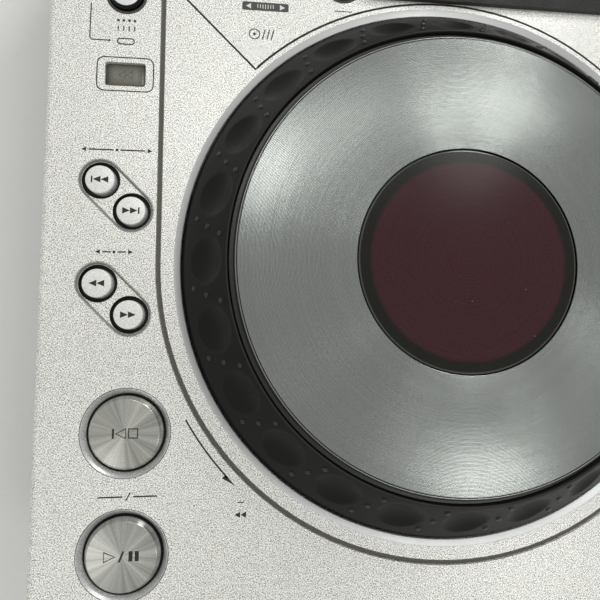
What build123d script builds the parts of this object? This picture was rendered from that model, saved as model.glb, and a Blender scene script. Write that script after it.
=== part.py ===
from build123d import *

import os
from math import atan2, cos, sin, sqrt

os.makedirs("parts", exist_ok=True)

# A tabletop player for compact discs with a large jog wheel. Millimetres, +X right, +Y to the rear,
# +Z up. The origin is on the table, under the middle of the body.

# ---------------------------------------------------------------- driving dimensions
WIDTH, DEPTH, HEIGHT = 305.0, 344.0, 108.5
PANEL_Z = 74.0  # the flat top panel
CASE_Z = 30.0  # lower edge of the moulded top case
FOOT_H = 8.0
CORNER_R = 9.0
SKIN = 2.5  # moulded walls
SHEET = 1.2  # steel sheet
SEAM = 0.3  # joint line between two fixed pieces
PLAY = 0.3  # least gap between a moving piece and a fixed one
FIT = 0.05  # radial clearance of a shaft in its bore

FRONT_Y, REAR_Y = -DEPTH / 2, DEPTH / 2
DECK_REAR_Y = REAR_Y - 1.0
REAR_PANEL_Y = 160.0

# jog wheel
JOG_Y = -34.0
JOG_TOP = 17.15  # silver plate above the panel
PLATE_R = 82.9
WINDOW_R = 40.2
RING_R = 102.3
RING_BORE_R = 84.2
CONE_SUM = 101.5  # radius plus height is constant on the 45 degree face of the ring
LIP_TOP = 15.9
DIMPLES = 24
DIMPLE_R, DIMPLE_DEPTH, DIMPLE_AT = 19.0, 1.7, 92.4
WELL_R = 103.0
WELL_CHAMFER, WELL_DROP = 2.0, 1.4
POST_R = 7.95
CARRIER_Z = 60.0
PRESS = 0.4  # travel of the touch plate
PLATE_UNDER = 15.65  # underside of the touch plate above the panel
SWITCH_RING_T = 0.4

# the U-shaped groove between case and decks, and the joint of the two decks
GROOVE_R, GROOVE_W, GROOVE_DEPTH = 110.67, 1.5, 1.0
DECK_R = GROOVE_R - GROOVE_W / 2
CASE_OPENING_R = GROOVE_R + GROOVE_W / 2
ARC_R = 107.0

# transport keys in the left column
COLUMN_X = -120.65
PLAY_Y, CUE_Y = -137.2, -95.1
TRANSPORT_BEZEL_R, TRANSPORT_CAP_R, TRANSPORT_TOP = 15.8, 13.7, 0.55
TRANSPORT_FACE_R = 12.55  # flat face inside the wide chamfer of the cap
PAIR_X, PAIR_YS, PAIR_STEP = -126.25, (-9.3, -47.4), 16.0
PAIR_R, PAIR_HOLE_R, PAIR_CAP_R, PAIR_TOP = 7.8, 6.9, 5.9, 0.5
PAIR_SUNK = 0.7  # depth of the floor between two search keys
REVERSE_AT, REVERSE_SIZE, REVERSE_FRAME = (-124.15, 36.95), (14.2, 8.5), (20.5, 13.0)

# round lit keys: name, centre, bezel radius
ROUND_KEYS = {
    "beat_loop_button": ((-124.4, 68.2), 7.5),
    "memory_button": ((-131.0, 108.0), 6.8),
    "loop_in_button": ((-92.0, 97.0), 7.75),
    "loop_out_button": ((-72.0, 78.7), 7.75),
    "reloop_button": ((-41.4, 78.7), 7.75),
    "master_tempo_button": ((131.0, -8.0), 7.75),
    "tempo_range_button": ((131.0, 16.0), 7.75),
    "jog_mode_button": ((131.0, 40.0), 7.75),
    "eject_button": ((131.0, 140.0), 8.2),
}
ROUND_RIM = 1.0  # width of the bezel ring
ROUND_TOP = 1.6
KEY_TRAVEL = 1.0

# key boards under the panel
BOARD_Z, BOARD_T = 63.0, 1.6
SWITCH_TOP = 68.0
STEM_Z = SWITCH_TOP + KEY_TRAVEL + 0.4  # lower end of a key at rest

# tempo fader and brake knob
TEMPO_X, TEMPO_Y, TEMPO_RANGE = 131.0, -88.0, 50.0
FADER_STEM = (3.0, 8.0)
BRAKE_AT = (131.0, 74.0)
BRAKE_R = 8.0

# display hood
HOOD_FRONT_Y, HOOD_STEP_Y, HOOD_CREST_Y, HOOD_REAR_Y = 73.6, 92.0, 158.0, 166.0
HOOD_FRONT_Z = 75.8
HOOD_LEFT_X, HOOD_TONGUE_X, HOOD_RIGHT_X = -70.0, -33.0, 99.0
HOOD_X = (HOOD_LEFT_X + HOOD_RIGHT_X) / 2
WINDOW_SIZE, WINDOW_UP = (140.0, 48.0), 50.0
TIME_KEY_X, TIME_KEY_UP, TIME_KEY_R = 16.5, 6.2, 4.1

# disc drive, slot in the front face
SLOT_Z = 48.8
SLOT_SIZE = (128.0, 5.4)
SLOT_FRAME = (150.0, 15.0)
SPINDLE_Y = -100.0
DRIVE_X, DRIVE_FRONT_Y, DRIVE_REAR_Y = 68.0, -165.0, -18.0
DRIVE_LOW_Z, DRIVE_TOP_Z = 38.0, 57.0
ROLLER_Y, ROLLER_Z, ROLLER_R = -157.0, 41.6, 4.0
RAIL_X, RAIL_Z, RAIL_R = 20.0, 43.4, 1.5
SCREW_X = 30.0

# rear connections
RCA_R = 4.15
RCA_AT = ((-118.0, 50.0), (-118.0, 30.0), (-92.0, 40.0))
MINI_JACK_AT = (-68.0, 40.0)
INLET_AT, INLET_SIZE = (112.0, 38.0), (20.0, 12.0)
ROCKER_AT, ROCKER_SIZE, ROCKER_TILT = (80.0, 38.0), (12.0, 19.0), 8.0
PIVOT_Y, PIVOT_R = REAR_PANEL_Y - 1.5, 1.2  # the rocker's trunnions
BARREL_END_Y = 170.5

SLOPE = atan2(HEIGHT - HOOD_FRONT_Z, HOOD_CREST_Y - HOOD_FRONT_Y)
slope_plane = Plane(
    origin=(0, HOOD_FRONT_Y, HOOD_FRONT_Z), x_dir=(1, 0, 0), z_dir=(0, -sin(SLOPE), cos(SLOPE))
)
pair_offset = PAIR_STEP / 2 / sqrt(2)


def pair_centres(y):
    """Upper left and lower right key of the pair whose middle is at y."""
    return [(PAIR_X - pair_offset, y + pair_offset), (PAIR_X + pair_offset, y - pair_offset)]


def turned(profile, centre=(0, JOG_Y)):
    """A solid of revolution about a vertical axis, from (radius, height above the panel) points."""
    x, y = centre
    with BuildPart() as solid:
        with BuildSketch(Plane(origin=(x, y, PANEL_Z), x_dir=(1, 0, 0), z_dir=(0, -1, 0))):
            with BuildLine():
                Polyline(*profile, close=True)
            make_face()
        revolve(axis=Axis((x, y, 0), (0, 0, 1)))
    return solid.part


def plate(size, centre, low, high, corner=0.0, rotation=0.0):
    """An upright prism with a plain or rounded rectangle as its plan."""
    with BuildPart() as solid:
        with BuildSketch(Plane.XY.offset(low)):
            with Locations(centre):
                if corner:
                    RectangleRounded(*size, corner, rotation=rotation)
                else:
                    Rectangle(*size, rotation=rotation)
        extrude(amount=high - low)
    return solid.part


def drum(radius, centre, low, high):
    """An upright cylinder."""
    with BuildPart() as solid:
        with BuildSketch(Plane.XY.offset(low)):
            with Locations(centre):
                Circle(radius)
        extrude(amount=high - low)
    return solid.part


def u_outline(radius, rear):
    """Half circle round the jog wheel with straight sides to the rear."""
    with BuildSketch() as outline:
        with Locations((0, JOG_Y)):
            Circle(radius)
        with Locations((0, (JOG_Y + rear) / 2)):
            Rectangle(2 * radius, rear - JOG_Y)
    return outline.sketch


def display_deck_outline(grow=0.0):
    """The rear deck, about the jog centre: 45 degree arms down to the arc over the jog wheel."""
    corner = ARC_R / sqrt(2)
    rear = DECK_REAR_Y - JOG_Y
    with BuildSketch() as outline:
        with BuildLine():
            Polyline(
                (corner, corner),
                (DECK_R, DECK_R),
                (DECK_R, rear),
                (-DECK_R, rear),
                (-DECK_R, DECK_R),
                (-corner, corner),
            )
            ThreePointArc((-corner, corner), (0, ARC_R), (corner, corner))
        make_face()
        if grow:
            offset(amount=grow, kind=Kind.INTERSECTION)
    return outline.sketch


def hood_outline(grow=0.0):
    """The L-shaped plan of the display hood."""
    with BuildSketch() as outline:
        with BuildLine():
            Polyline(
                (HOOD_TONGUE_X, HOOD_FRONT_Y),
                (HOOD_RIGHT_X, HOOD_FRONT_Y),
                (HOOD_RIGHT_X, HOOD_REAR_Y),
                (HOOD_LEFT_X, HOOD_REAR_Y),
                (HOOD_LEFT_X, HOOD_STEP_Y),
                (HOOD_TONGUE_X, HOOD_STEP_Y),
                close=True,
            )
        make_face()
        if grow:
            offset(amount=grow, kind=Kind.INTERSECTION)
    return outline.sketch


# ---------------------------------------------------------------- top case
# The moulded silver case: front, sides and the two outer strips of the top panel.
with BuildPart() as top_case:
    with BuildSketch(Plane.XY.offset(CASE_Z)):
        RectangleRounded(WIDTH, DEPTH, CORNER_R)
    extrude(amount=PANEL_Z - CASE_Z)
    fillet(top_case.faces().sort_by(Axis.Z)[-1].edges(), 2.2)
    with BuildSketch(Plane.XY.offset(CASE_Z)):
        RectangleRounded(WIDTH - 2 * SKIN, DEPTH - 2 * SKIN, CORNER_R - SKIN)
        with Locations((0, REAR_Y - 10)):
            Rectangle(WIDTH - 4 * SKIN, 40)
    extrude(amount=PANEL_Z - SKIN - CASE_Z, mode=Mode.SUBTRACT)
    with BuildSketch(Plane.XY.offset(PANEL_Z - SKIN)):
        add(u_outline(CASE_OPENING_R, REAR_Y + 5))
        with Locations((COLUMN_X, PLAY_Y), (COLUMN_X, CUE_Y)):
            Circle(TRANSPORT_BEZEL_R + SEAM / 2)
        for pair_y in PAIR_YS:
            with Locations((PAIR_X, pair_y)):
                SlotCenterToCenter(PAIR_STEP, 2 * PAIR_R + SEAM, rotation=-45)
        with Locations(REVERSE_AT):
            RectangleRounded(REVERSE_FRAME[0], REVERSE_FRAME[1], 2.6)
        for centre, radius in ROUND_KEYS.values():
            if abs(centre[0]) > DECK_R:
                with Locations(centre):
                    Circle(radius + SEAM / 2)
        with Locations((TEMPO_X, TEMPO_Y)):
            Rectangle(5.0, 2 * TEMPO_RANGE + FADER_STEM[1] + 4)
        with Locations(BRAKE_AT):
            Circle(4.5)
    extrude(amount=SKIN, mode=Mode.SUBTRACT)
    # recess and hole for the disc slot
    with BuildSketch(Plane.XZ.offset(-FRONT_Y)):
        with Locations((0, SLOT_Z)):
            RectangleRounded(SLOT_FRAME[0], SLOT_FRAME[1], 3.0)
    extrude(amount=-1.3, mode=Mode.SUBTRACT)
    with BuildSketch(Plane.XZ.offset(-FRONT_Y)):
        with Locations((0, SLOT_Z)):
            Rectangle(SLOT_SIZE[0] + 10, SLOT_SIZE[1] + 5)
    extrude(amount=-5, mode=Mode.SUBTRACT)

# ---------------------------------------------------------------- jog deck
# The U-shaped silver deck round the jog wheel, with the chamfered well and its wall. A step along
# its outer edge is the floor of the groove.
with BuildPart() as jog_deck:
    with BuildSketch(Plane.XY.offset(PANEL_Z - SKIN)):
        add(u_outline(DECK_R, DECK_REAR_Y))
    extrude(amount=SKIN)
    with BuildSketch(Plane.XY.offset(PANEL_Z - SKIN)):
        add(u_outline(CASE_OPENING_R - SEAM / 2, DECK_REAR_Y))
    extrude(amount=SKIN - GROOVE_DEPTH)
    with BuildSketch(Plane(origin=(0, JOG_Y, PANEL_Z - SKIN))):
        add(display_deck_outline(SEAM))
    extrude(amount=SKIN, mode=Mode.SUBTRACT)
    with BuildSketch(Plane(origin=(0, JOG_Y, CARRIER_Z + 3))):
        Circle(WELL_R + WELL_CHAMFER)
    extrude(amount=PANEL_Z - CARRIER_Z - 3)
    with BuildSketch(Plane(origin=(0, JOG_Y, CARRIER_Z + 3))):
        Circle(WELL_R)
    extrude(amount=PANEL_Z, mode=Mode.SUBTRACT)
    with Locations((0, JOG_Y, PANEL_Z)):
        Cone(
            WELL_R,
            WELL_R + WELL_CHAMFER,
            WELL_DROP,
            align=(Align.CENTER, Align.CENTER, Align.MAX),
            mode=Mode.SUBTRACT,
        )

# ---------------------------------------------------------------- display deck
# The silver deck behind the jog wheel, with key holes and the opening under the hood.
with BuildPart() as display_deck:
    with BuildSketch(Plane(origin=(0, JOG_Y, PANEL_Z - SKIN))):
        add(display_deck_outline())
    extrude(amount=SKIN)
    with BuildSketch(Plane.XY.offset(PANEL_Z - SKIN)):
        for centre, radius in ROUND_KEYS.values():
            if abs(centre[0]) < DECK_R:
                with Locations(centre):
                    Circle(radius + SEAM / 2)
        with Locations((HOOD_X, (HOOD_STEP_Y + HOOD_REAR_Y) / 2 + 4)):
            Rectangle(HOOD_RIGHT_X - HOOD_LEFT_X - 16, HOOD_REAR_Y - HOOD_STEP_Y - 24)
        with Locations((TIME_KEY_X, HOOD_FRONT_Y + 7.2)):
            Rectangle(10.4, 8.8)
    extrude(amount=SKIN, mode=Mode.SUBTRACT)

# ---------------------------------------------------------------- display hood
# The dark sloping hood, a shell that is open below, with the window opening and one key hole.
with BuildPart() as hood_core:
    with BuildSketch(Plane.XY.offset(PANEL_Z)):
        add(hood_outline(-SKIN))
    extrude(amount=HEIGHT - SKIN - PANEL_Z)
    with Locations(slope_plane.offset(-SKIN)):
        Box(400, 300, 60, align=(Align.CENTER, Align.CENTER, Align.MIN), mode=Mode.SUBTRACT)

with BuildPart() as display_bezel:
    with BuildSketch(Plane.XY.offset(PANEL_Z)):
        add(hood_outline())
    extrude(amount=HEIGHT - PANEL_Z)
    fillet(display_bezel.edges().filter_by(Axis.Z), 4.0)
    with Locations(slope_plane):
        Box(400, 300, 60, align=(Align.CENTER, Align.CENTER, Align.MIN), mode=Mode.SUBTRACT)
    add(hood_core.part, mode=Mode.SUBTRACT)
    with BuildSketch(slope_plane):
        with Locations((HOOD_X, WINDOW_UP)):
            RectangleRounded(WINDOW_SIZE[0], WINDOW_SIZE[1], 4.0)
        with Locations((TIME_KEY_X, TIME_KEY_UP)):
            Circle(TIME_KEY_R + PLAY + 0.1)
    extrude(amount=-12, mode=Mode.SUBTRACT)

# The smoked window and the display panel behind it.
with BuildPart() as display_window:
    with BuildSketch(slope_plane.offset(-2.0)):
        with Locations((HOOD_X, WINDOW_UP)):
            RectangleRounded(WINDOW_SIZE[0] - 2 * SEAM, WINDOW_SIZE[1] - 2 * SEAM, 3.8)
    extrude(amount=2.0)

with BuildPart() as display_module:
    with BuildSketch(slope_plane.offset(-9.0)):
        with Locations((HOOD_X, WINDOW_UP)):
            Rectangle(WINDOW_SIZE[0] - 14, WINDOW_SIZE[1] - 8)
    extrude(amount=6.0)
    with BuildSketch(slope_plane.offset(-10.6)):
        with Locations((HOOD_X, WINDOW_UP)):
            Rectangle(WINDOW_SIZE[0] + 10, WINDOW_SIZE[1] + 4)
    extrude(amount=1.6)

# ---------------------------------------------------------------- bezels of the keys
# Conical rings round the two large transport keys.
TRANSPORT_RING = [(14.4, -3.5), (15.8, -3.5), (15.8, 0.0), (15.6, 0.0), (14.5, -1.6), (14.4, -1.8)]
with BuildPart() as transport_bezels:
    for key_y in (PLAY_Y, CUE_Y):
        add(turned(TRANSPORT_RING, (COLUMN_X, key_y)))

# Silver key plates: the two sunk stadiums of the search pairs and the frame of the reverse key.
with BuildPart() as key_plates:
    for pair_y in PAIR_YS:
        with BuildSketch(Plane.XY.offset(PANEL_Z - 3.2)):
            with Locations((PAIR_X, pair_y)):
                SlotCenterToCenter(PAIR_STEP, 2 * PAIR_R, rotation=-45)
        extrude(amount=3.2)
        with BuildSketch(Plane.XY.offset(PANEL_Z)):
            with Locations((PAIR_X, pair_y)):
                SlotCenterToCenter(PAIR_STEP, 2 * PAIR_R - 0.2, rotation=-45)
        extrude(amount=-PAIR_SUNK, taper=44, mode=Mode.SUBTRACT)
        with BuildSketch(Plane.XY.offset(PANEL_Z - 3.2)):
            with Locations(*pair_centres(pair_y)):
                Circle(PAIR_HOLE_R)
        extrude(amount=3.2, mode=Mode.SUBTRACT)
    with BuildSketch(Plane.XY.offset(PANEL_Z - 3.0)):
        with Locations(REVERSE_AT):
            RectangleRounded(REVERSE_FRAME[0] - SEAM, REVERSE_FRAME[1] - SEAM, 2.5)
            RectangleRounded(REVERSE_SIZE[0] + 2 * PLAY, REVERSE_SIZE[1] + 2 * PLAY, 1.2, mode=Mode.SUBTRACT)
    extrude(amount=3.0)

# Dark rings of the round lit keys.
with BuildPart() as button_bezels:
    for centre, radius in ROUND_KEYS.values():
        inner = radius - ROUND_RIM
        ring = [(inner, -3.0), (radius, -3.0), (radius, 0.0), (radius - 0.4, 0.25), (inner, 0.0)]
        add(turned(ring, centre))

# ---------------------------------------------------------------- base, feet, rear
# Folded steel tray: floor and three low walls, with bosses for the drive.
TRAY_HALF_X, TRAY_FRONT_Y = WIDTH / 2 - SKIN - 0.5, FRONT_Y + SKIN + 0.5
DAMPER_AT = [(x, y) for x in (-76.0, 76.0) for y in (-140.0, -40.0)]
LEG_AT = [(x, JOG_Y + y) for x in (-88.0, 88.0) for y in (-84.0, 84.0)]
FLOOR_Z = FOOT_H + SHEET
SCREW_AT = [(x, y) for x in (-138.0, 138.0) for y in (-100.0, 0.0, 100.0)] + [(-60.0, -158.0), (60.0, -158.0)]
REAR_SCREW_AT = [(-138.0, 62.0), (-40.0, 62.0), (40.0, 62.0), (138.0, 62.0)]
SCREW_R = 1.5
with BuildPart() as base_tray:
    with BuildSketch(Plane.XY.offset(FOOT_H)):
        with Locations((0, (TRAY_FRONT_Y + REAR_PANEL_Y) / 2)):
            RectangleRounded(2 * TRAY_HALF_X, REAR_PANEL_Y - TRAY_FRONT_Y, 5.0)
    extrude(amount=CASE_Z + 4 - FOOT_H)
    with BuildSketch(Plane.XY.offset(FLOOR_Z)):
        with Locations((0, (TRAY_FRONT_Y + REAR_PANEL_Y) / 2 + 10)):
            RectangleRounded(2 * (TRAY_HALF_X - SHEET), REAR_PANEL_Y - TRAY_FRONT_Y + 20 - 2 * SHEET, 4.0)
    extrude(amount=CASE_Z, mode=Mode.SUBTRACT)
    with BuildSketch(Plane.XY.offset(FLOOR_Z)):
        with Locations(*DAMPER_AT):
            Circle(4.0)
    extrude(amount=DRIVE_LOW_Z - 6 - FLOOR_Z)
    with BuildSketch(Plane.XY.offset(FOOT_H)):
        with Locations(*SCREW_AT):
            Circle(SCREW_R + 0.1)
    extrude(amount=SHEET, mode=Mode.SUBTRACT)
    # cooling slots in the side walls
    with BuildSketch(Plane.YZ.offset(-TRAY_HALF_X - 1)):
        with GridLocations(9.0, 1.0, 12, 1):
            with Locations((60.0, 20.0)):
                SlotOverall(9.0, 2.6, rotation=90)
    extrude(amount=2 * TRAY_HALF_X + 2, mode=Mode.SUBTRACT)

# Four round rubber feet.
FOOT_AT = [(x, y) for x in (-124.0, 124.0) for y in (-142.0, 132.0)]
FOOT_R = 13.0
with BuildPart() as feet:
    for x, y in FOOT_AT:
        with Locations((x, y, 0)):
            Cylinder(FOOT_R, FOOT_H, align=(Align.CENTER, Align.CENTER, Align.MIN))
    chamfer(feet.faces().group_by(Axis.Z)[0].edges(), 1.2)

# Steel rear panel with its connector holes.
with BuildPart() as rear_panel:
    with BuildSketch(Plane.XZ.offset(-REAR_PANEL_Y - 1.5)):
        with Locations((0, (FOOT_H + PANEL_Z - SKIN - 0.5) / 2)):
            Rectangle(WIDTH - 4 * SKIN - 1, PANEL_Z - SKIN - 0.5 - FOOT_H)
        with Locations(*RCA_AT, MINI_JACK_AT):
            Circle(5.2, mode=Mode.SUBTRACT)
        with Locations(INLET_AT):
            RectangleRounded(INLET_SIZE[0] + SEAM, INLET_SIZE[1] + SEAM, 3.0, mode=Mode.SUBTRACT)
        with Locations(ROCKER_AT):
            Rectangle(ROCKER_SIZE[0] + 1.4, ROCKER_SIZE[1] + 2.2, mode=Mode.SUBTRACT)
        with Locations(*REAR_SCREW_AT):
            Circle(SCREW_R + 0.1, mode=Mode.SUBTRACT)
    extrude(amount=1.5)
    # two ears behind the panel that carry the rocker
    for side in (-1, 1):
        ear_x = ROCKER_AT[0] + side * (ROCKER_SIZE[0] / 2 + 1.3)
        with Locations((ear_x, REAR_PANEL_Y + 0.5, ROCKER_AT[1])):
            Box(SHEET, 5.5, 8.0, align=(Align.CENTER, Align.MAX, Align.CENTER))
    with BuildSketch(Plane.YZ.offset(ROCKER_AT[0] - ROCKER_SIZE[0])):
        with Locations((PIVOT_Y, ROCKER_AT[1])):
            Circle(PIVOT_R + FIT)
    extrude(amount=2 * ROCKER_SIZE[0], mode=Mode.SUBTRACT)

# Pan-head screws that close the tray and the rear panel.
with BuildPart() as case_screws:
    with BuildSketch(Plane.XY.offset(FOOT_H - 1.8)):
        with Locations(*SCREW_AT):
            Circle(3.0)
    extrude(amount=1.8)
    with BuildSketch(Plane.XY.offset(FOOT_H)):
        with Locations(*SCREW_AT):
            Circle(SCREW_R)
    extrude(amount=9.0)
    with BuildSketch(Plane.XZ.offset(-REAR_PANEL_Y - 3.3)):
        with Locations(*REAR_SCREW_AT):
            Circle(3.0)
    extrude(amount=1.8)
    with BuildSketch(Plane.XZ.offset(-REAR_PANEL_Y - 1.5)):
        with Locations(*REAR_SCREW_AT):
            Circle(SCREW_R)
    extrude(amount=7.0)

# Phono sockets and the control socket, with their housings behind the panel.
with BuildPart() as rear_jacks:
    with BuildSketch(Plane.XZ.offset(-REAR_PANEL_Y + SEAM)):
        with Locations(*RCA_AT, MINI_JACK_AT):
            Rectangle(13.0, 13.0)
    extrude(amount=13.0)
    with BuildSketch(Plane.XZ.offset(-BARREL_END_Y)):
        with Locations(*RCA_AT):
            Circle(RCA_R)
    extrude(amount=BARREL_END_Y - REAR_PANEL_Y + 1)
    with BuildSketch(Plane.XZ.offset(-REAR_PANEL_Y - 3.2)):
        with Locations(*RCA_AT, MINI_JACK_AT):
            Circle(5.0)
    extrude(amount=3.2 + 1)
    with BuildSketch(Plane.XZ.offset(-BARREL_END_Y)):
        with Locations(*RCA_AT):
            Circle(1.6)
    extrude(amount=10.0, mode=Mode.SUBTRACT)
    with BuildSketch(Plane.XZ.offset(-REAR_PANEL_Y - 3.2)):
        with Locations(MINI_JACK_AT):
            Circle(1.8)
    extrude(amount=12.0, mode=Mode.SUBTRACT)

# Two-pin mains inlet: an insulating shroud with two pins standing in it.
INLET_DEPTH = 14.0
with BuildPart() as ac_inlet:
    with BuildSketch(Plane.XZ.offset(-REAR_PANEL_Y - 2.5)):
        with Locations(INLET_AT):
            RectangleRounded(INLET_SIZE[0], INLET_SIZE[1], 2.8)
    extrude(amount=INLET_DEPTH + 5)
    with BuildSketch(Plane.XZ.offset(-REAR_PANEL_Y - 2.5)):
        with Locations(INLET_AT):
            SlotOverall(INLET_SIZE[0] - 3, INLET_SIZE[1] - 3)
    extrude(amount=INLET_DEPTH, mode=Mode.SUBTRACT)
    with BuildSketch(Plane.XZ.offset(-REAR_PANEL_Y + 1.0)):
        with Locations((INLET_AT[0] - 5.2, INLET_AT[1]), (INLET_AT[0] + 5.2, INLET_AT[1])):
            Circle(1.2)
    extrude(amount=INLET_DEPTH)

# Mains rocker on its own pivot, stored in the off position.
with BuildPart() as power_rocker:
    with BuildSketch(Plane.YZ.offset(ROCKER_AT[0] - ROCKER_SIZE[0] / 2)):
        with BuildLine():
            half = ROCKER_SIZE[1] / 2
            Polyline((-4.0, -half), (-4.0, half), (4.2, half), (3.2, 0), (4.2, -half), close=True)
        make_face()
    extrude(amount=ROCKER_SIZE[0])
    with BuildSketch(Plane.YZ.offset(ROCKER_AT[0] - ROCKER_SIZE[0] / 2 - 1.7)):
        Circle(PIVOT_R)
    extrude(amount=ROCKER_SIZE[0] + 3.4)
power_rocker.part = Pos(0, PIVOT_Y, ROCKER_AT[1]) * Rot(-ROCKER_TILT, 0, 0) * power_rocker.part

# ---------------------------------------------------------------- jog wheel
# Rubber grip ring: a 45 degree face with two dozen thumb dimples and a small inner lip.
RING_PROFILE = [
    (RING_R, -8.0),
    (RING_R, -1.6),
    (RING_R - 0.9, 0.1),
    (86.1, 15.4),
    (85.4, LIP_TOP),
    (84.7, LIP_TOP),
    (RING_BORE_R, 15.4),
    (RING_BORE_R, 6.0),
    (88.5, 6.0),
    (99.3, -4.5),
    (99.3, -8.0),
]
lift_out = (DIMPLE_R - DIMPLE_DEPTH) / sqrt(2)
with BuildPart() as jog_ring:
    add(turned(RING_PROFILE))
    with Locations((0, JOG_Y, PANEL_Z + CONE_SUM - DIMPLE_AT + lift_out)):
        with PolarLocations(DIMPLE_AT + lift_out, DIMPLES):
            Sphere(DIMPLE_R, mode=Mode.SUBTRACT)

# Hub: boss on the post, web, and the wall that carries the ring and guides the touch plate.
WALL_IN, WALL_TOP = 81.0, PLATE_UNDER - PRESS - 0.35 - SWITCH_RING_T
HUB_PROFILE = [
    (POST_R + FIT, -10.0),
    (13.0, -10.0),
    (13.0, -3.0),
    (RING_BORE_R - FIT, -3.0),
    (RING_BORE_R - FIT, WALL_TOP),
    (WALL_IN, WALL_TOP),
    (WALL_IN, 0.0),
    (13.0, 0.0),
    (13.0, 3.0),
    (POST_R + FIT, 3.0),
]
with BuildPart() as jog_hub:
    add(turned(HUB_PROFILE))

# Thin ring switch on the hub's wall, which the touch plate presses.
switch_low, switch_high = WALL_TOP, WALL_TOP + SWITCH_RING_T
with BuildPart() as touch_switch_ring:
    add(turned([(81.2, switch_low), (84.0, switch_low), (84.0, switch_high), (81.2, switch_high)]))

# Slotted encoder ring under the web, and the light gate it runs through.
with BuildPart() as encoder_ring:
    add(turned([(71.0, -8.0), (80.0, -8.0), (80.0, -3.0), (78.0, -3.0), (78.0, -6.8), (71.0, -6.8)]))
    with BuildSketch(Plane(origin=(0, JOG_Y, PANEL_Z - 8.5))):
        with PolarLocations(74.5, 60):
            Rectangle(4.0, 3.4)
    extrude(amount=2.0, mode=Mode.SUBTRACT)

with BuildPart() as encoder_sensor:
    add(plate((12.0, 12.0), (71.0, JOG_Y), CARRIER_Z + SKIN, 69.6))
    add(plate((8.0, 12.6), (74.2, JOG_Y), 65.2, 68.0), mode=Mode.SUBTRACT)

# Carrier plate under the wheel: hollow post, four legs down to the tray.
with BuildPart() as jog_carrier:
    with BuildSketch(Plane(origin=(0, JOG_Y, CARRIER_Z))):
        RectangleRounded(196, 188, 18)
    extrude(amount=SKIN)
    with BuildSketch(Plane(origin=(0, JOG_Y, CARRIER_Z))):
        Circle(POST_R)
    extrude(amount=18.5)
    with BuildSketch(Plane(origin=(0, JOG_Y, CARRIER_Z))):
        Circle(5.0)
    extrude(amount=18.5, mode=Mode.SUBTRACT)
    with BuildSketch(Plane.XY.offset(FLOOR_Z)):
        with Locations(*LEG_AT):
            Circle(5.0)
    extrude(amount=CARRIER_Z - FLOOR_Z)

# Fixed round display on top of the post, seen through the window of the plate.
with BuildPart() as jog_display:
    add(drum(37.0, (0, JOG_Y), PANEL_Z + 4.5, PANEL_Z + 6.1))
    add(drum(34.0, (0, JOG_Y), PANEL_Z + 6.1, PANEL_Z + 9.5))

# Silver touch plate with its rim groove, guide skirt and window seat.
PLATE_PROFILE = [
    (WINDOW_R + 0.1, JOG_TOP),
    (PLATE_R - 1.35, JOG_TOP),
    (PLATE_R - 1.35, JOG_TOP - 0.4),
    (PLATE_R - 0.85, JOG_TOP - 0.4),
    (PLATE_R - 0.85, JOG_TOP),
    (PLATE_R - 0.3, JOG_TOP),
    (PLATE_R, JOG_TOP - 0.3),
    (PLATE_R, PLATE_UNDER),
    (80.4, PLATE_UNDER),
    (80.4, 10.0),
    (78.8, 10.0),
    (78.8, PLATE_UNDER),
    (46.0, PLATE_UNDER),
    (46.0, 12.6),
    (38.6, 12.6),
    (38.6, 13.9),
    (WINDOW_R + 0.1, 13.9),
]
with BuildPart() as jog_plate:
    add(turned(PLATE_PROFILE))

with BuildPart() as jog_window:
    add(drum(WINDOW_R, (0, JOG_Y), PANEL_Z + 14.0, PANEL_Z + JOG_TOP - 0.15))

# ---------------------------------------------------------------- keys
def round_cap(centre, radius, top, edge):
    """A round key: a cap with a softened edge on a stem."""
    with BuildPart() as cap:
        with BuildSketch(Plane.XY.offset(PANEL_Z - 3.4)):
            with Locations(centre):
                Circle(radius)
        extrude(amount=3.4 + top)
        fillet(cap.faces().sort_by(Axis.Z)[-1].edges(), edge)
        with BuildSketch(Plane.XY.offset(STEM_Z)):
            with Locations(centre):
                Circle(radius * 0.42)
        extrude(amount=PANEL_Z - 3.4 - STEM_Z)
    return cap


# The two large keys: a wide cap with a conical chamfer, on a stem.
TRANSPORT_CAP = [
    (0, STEM_Z - PANEL_Z),
    (5.6, STEM_Z - PANEL_Z),
    (5.6, -3.4),
    (TRANSPORT_CAP_R, -3.4),
    (TRANSPORT_CAP_R, -1.1),
    (TRANSPORT_FACE_R, TRANSPORT_TOP),
    (0, TRANSPORT_TOP),
]
with BuildPart() as play_button:
    add(turned(TRANSPORT_CAP, (COLUMN_X, PLAY_Y)))
with BuildPart() as cue_button:
    add(turned(TRANSPORT_CAP, (COLUMN_X, CUE_Y)))

pair_names = (("track_back_button", "track_next_button"), ("search_back_button", "search_forward_button"))
keys = {"play_button": play_button, "cue_button": cue_button}
for pair_y, names in zip(PAIR_YS, pair_names):
    for centre, key_name in zip(pair_centres(pair_y), names):
        keys[key_name] = round_cap(centre, PAIR_CAP_R, PAIR_TOP, 0.6)
for key_name, (centre, radius) in ROUND_KEYS.items():
    keys[key_name] = round_cap(centre, radius - ROUND_RIM - PLAY, ROUND_TOP, 0.9)

with BuildPart() as reverse_button:
    add(plate(REVERSE_SIZE, REVERSE_AT, PANEL_Z - 3.4, PANEL_Z - 0.7, corner=0.9))
    add(plate((6.0, 4.0), REVERSE_AT, STEM_Z, PANEL_Z - 3.4))
keys["reverse_button"] = reverse_button

with BuildPart() as time_mode_button:
    with BuildSketch(slope_plane.offset(-3.0)):
        with Locations((TIME_KEY_X, TIME_KEY_UP)):
            Circle(TIME_KEY_R)
    extrude(amount=3.8)
    fillet(time_mode_button.faces().sort_by(Axis.Z)[-1].edges(), 0.6)
keys["time_mode_button"] = time_mode_button

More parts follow.
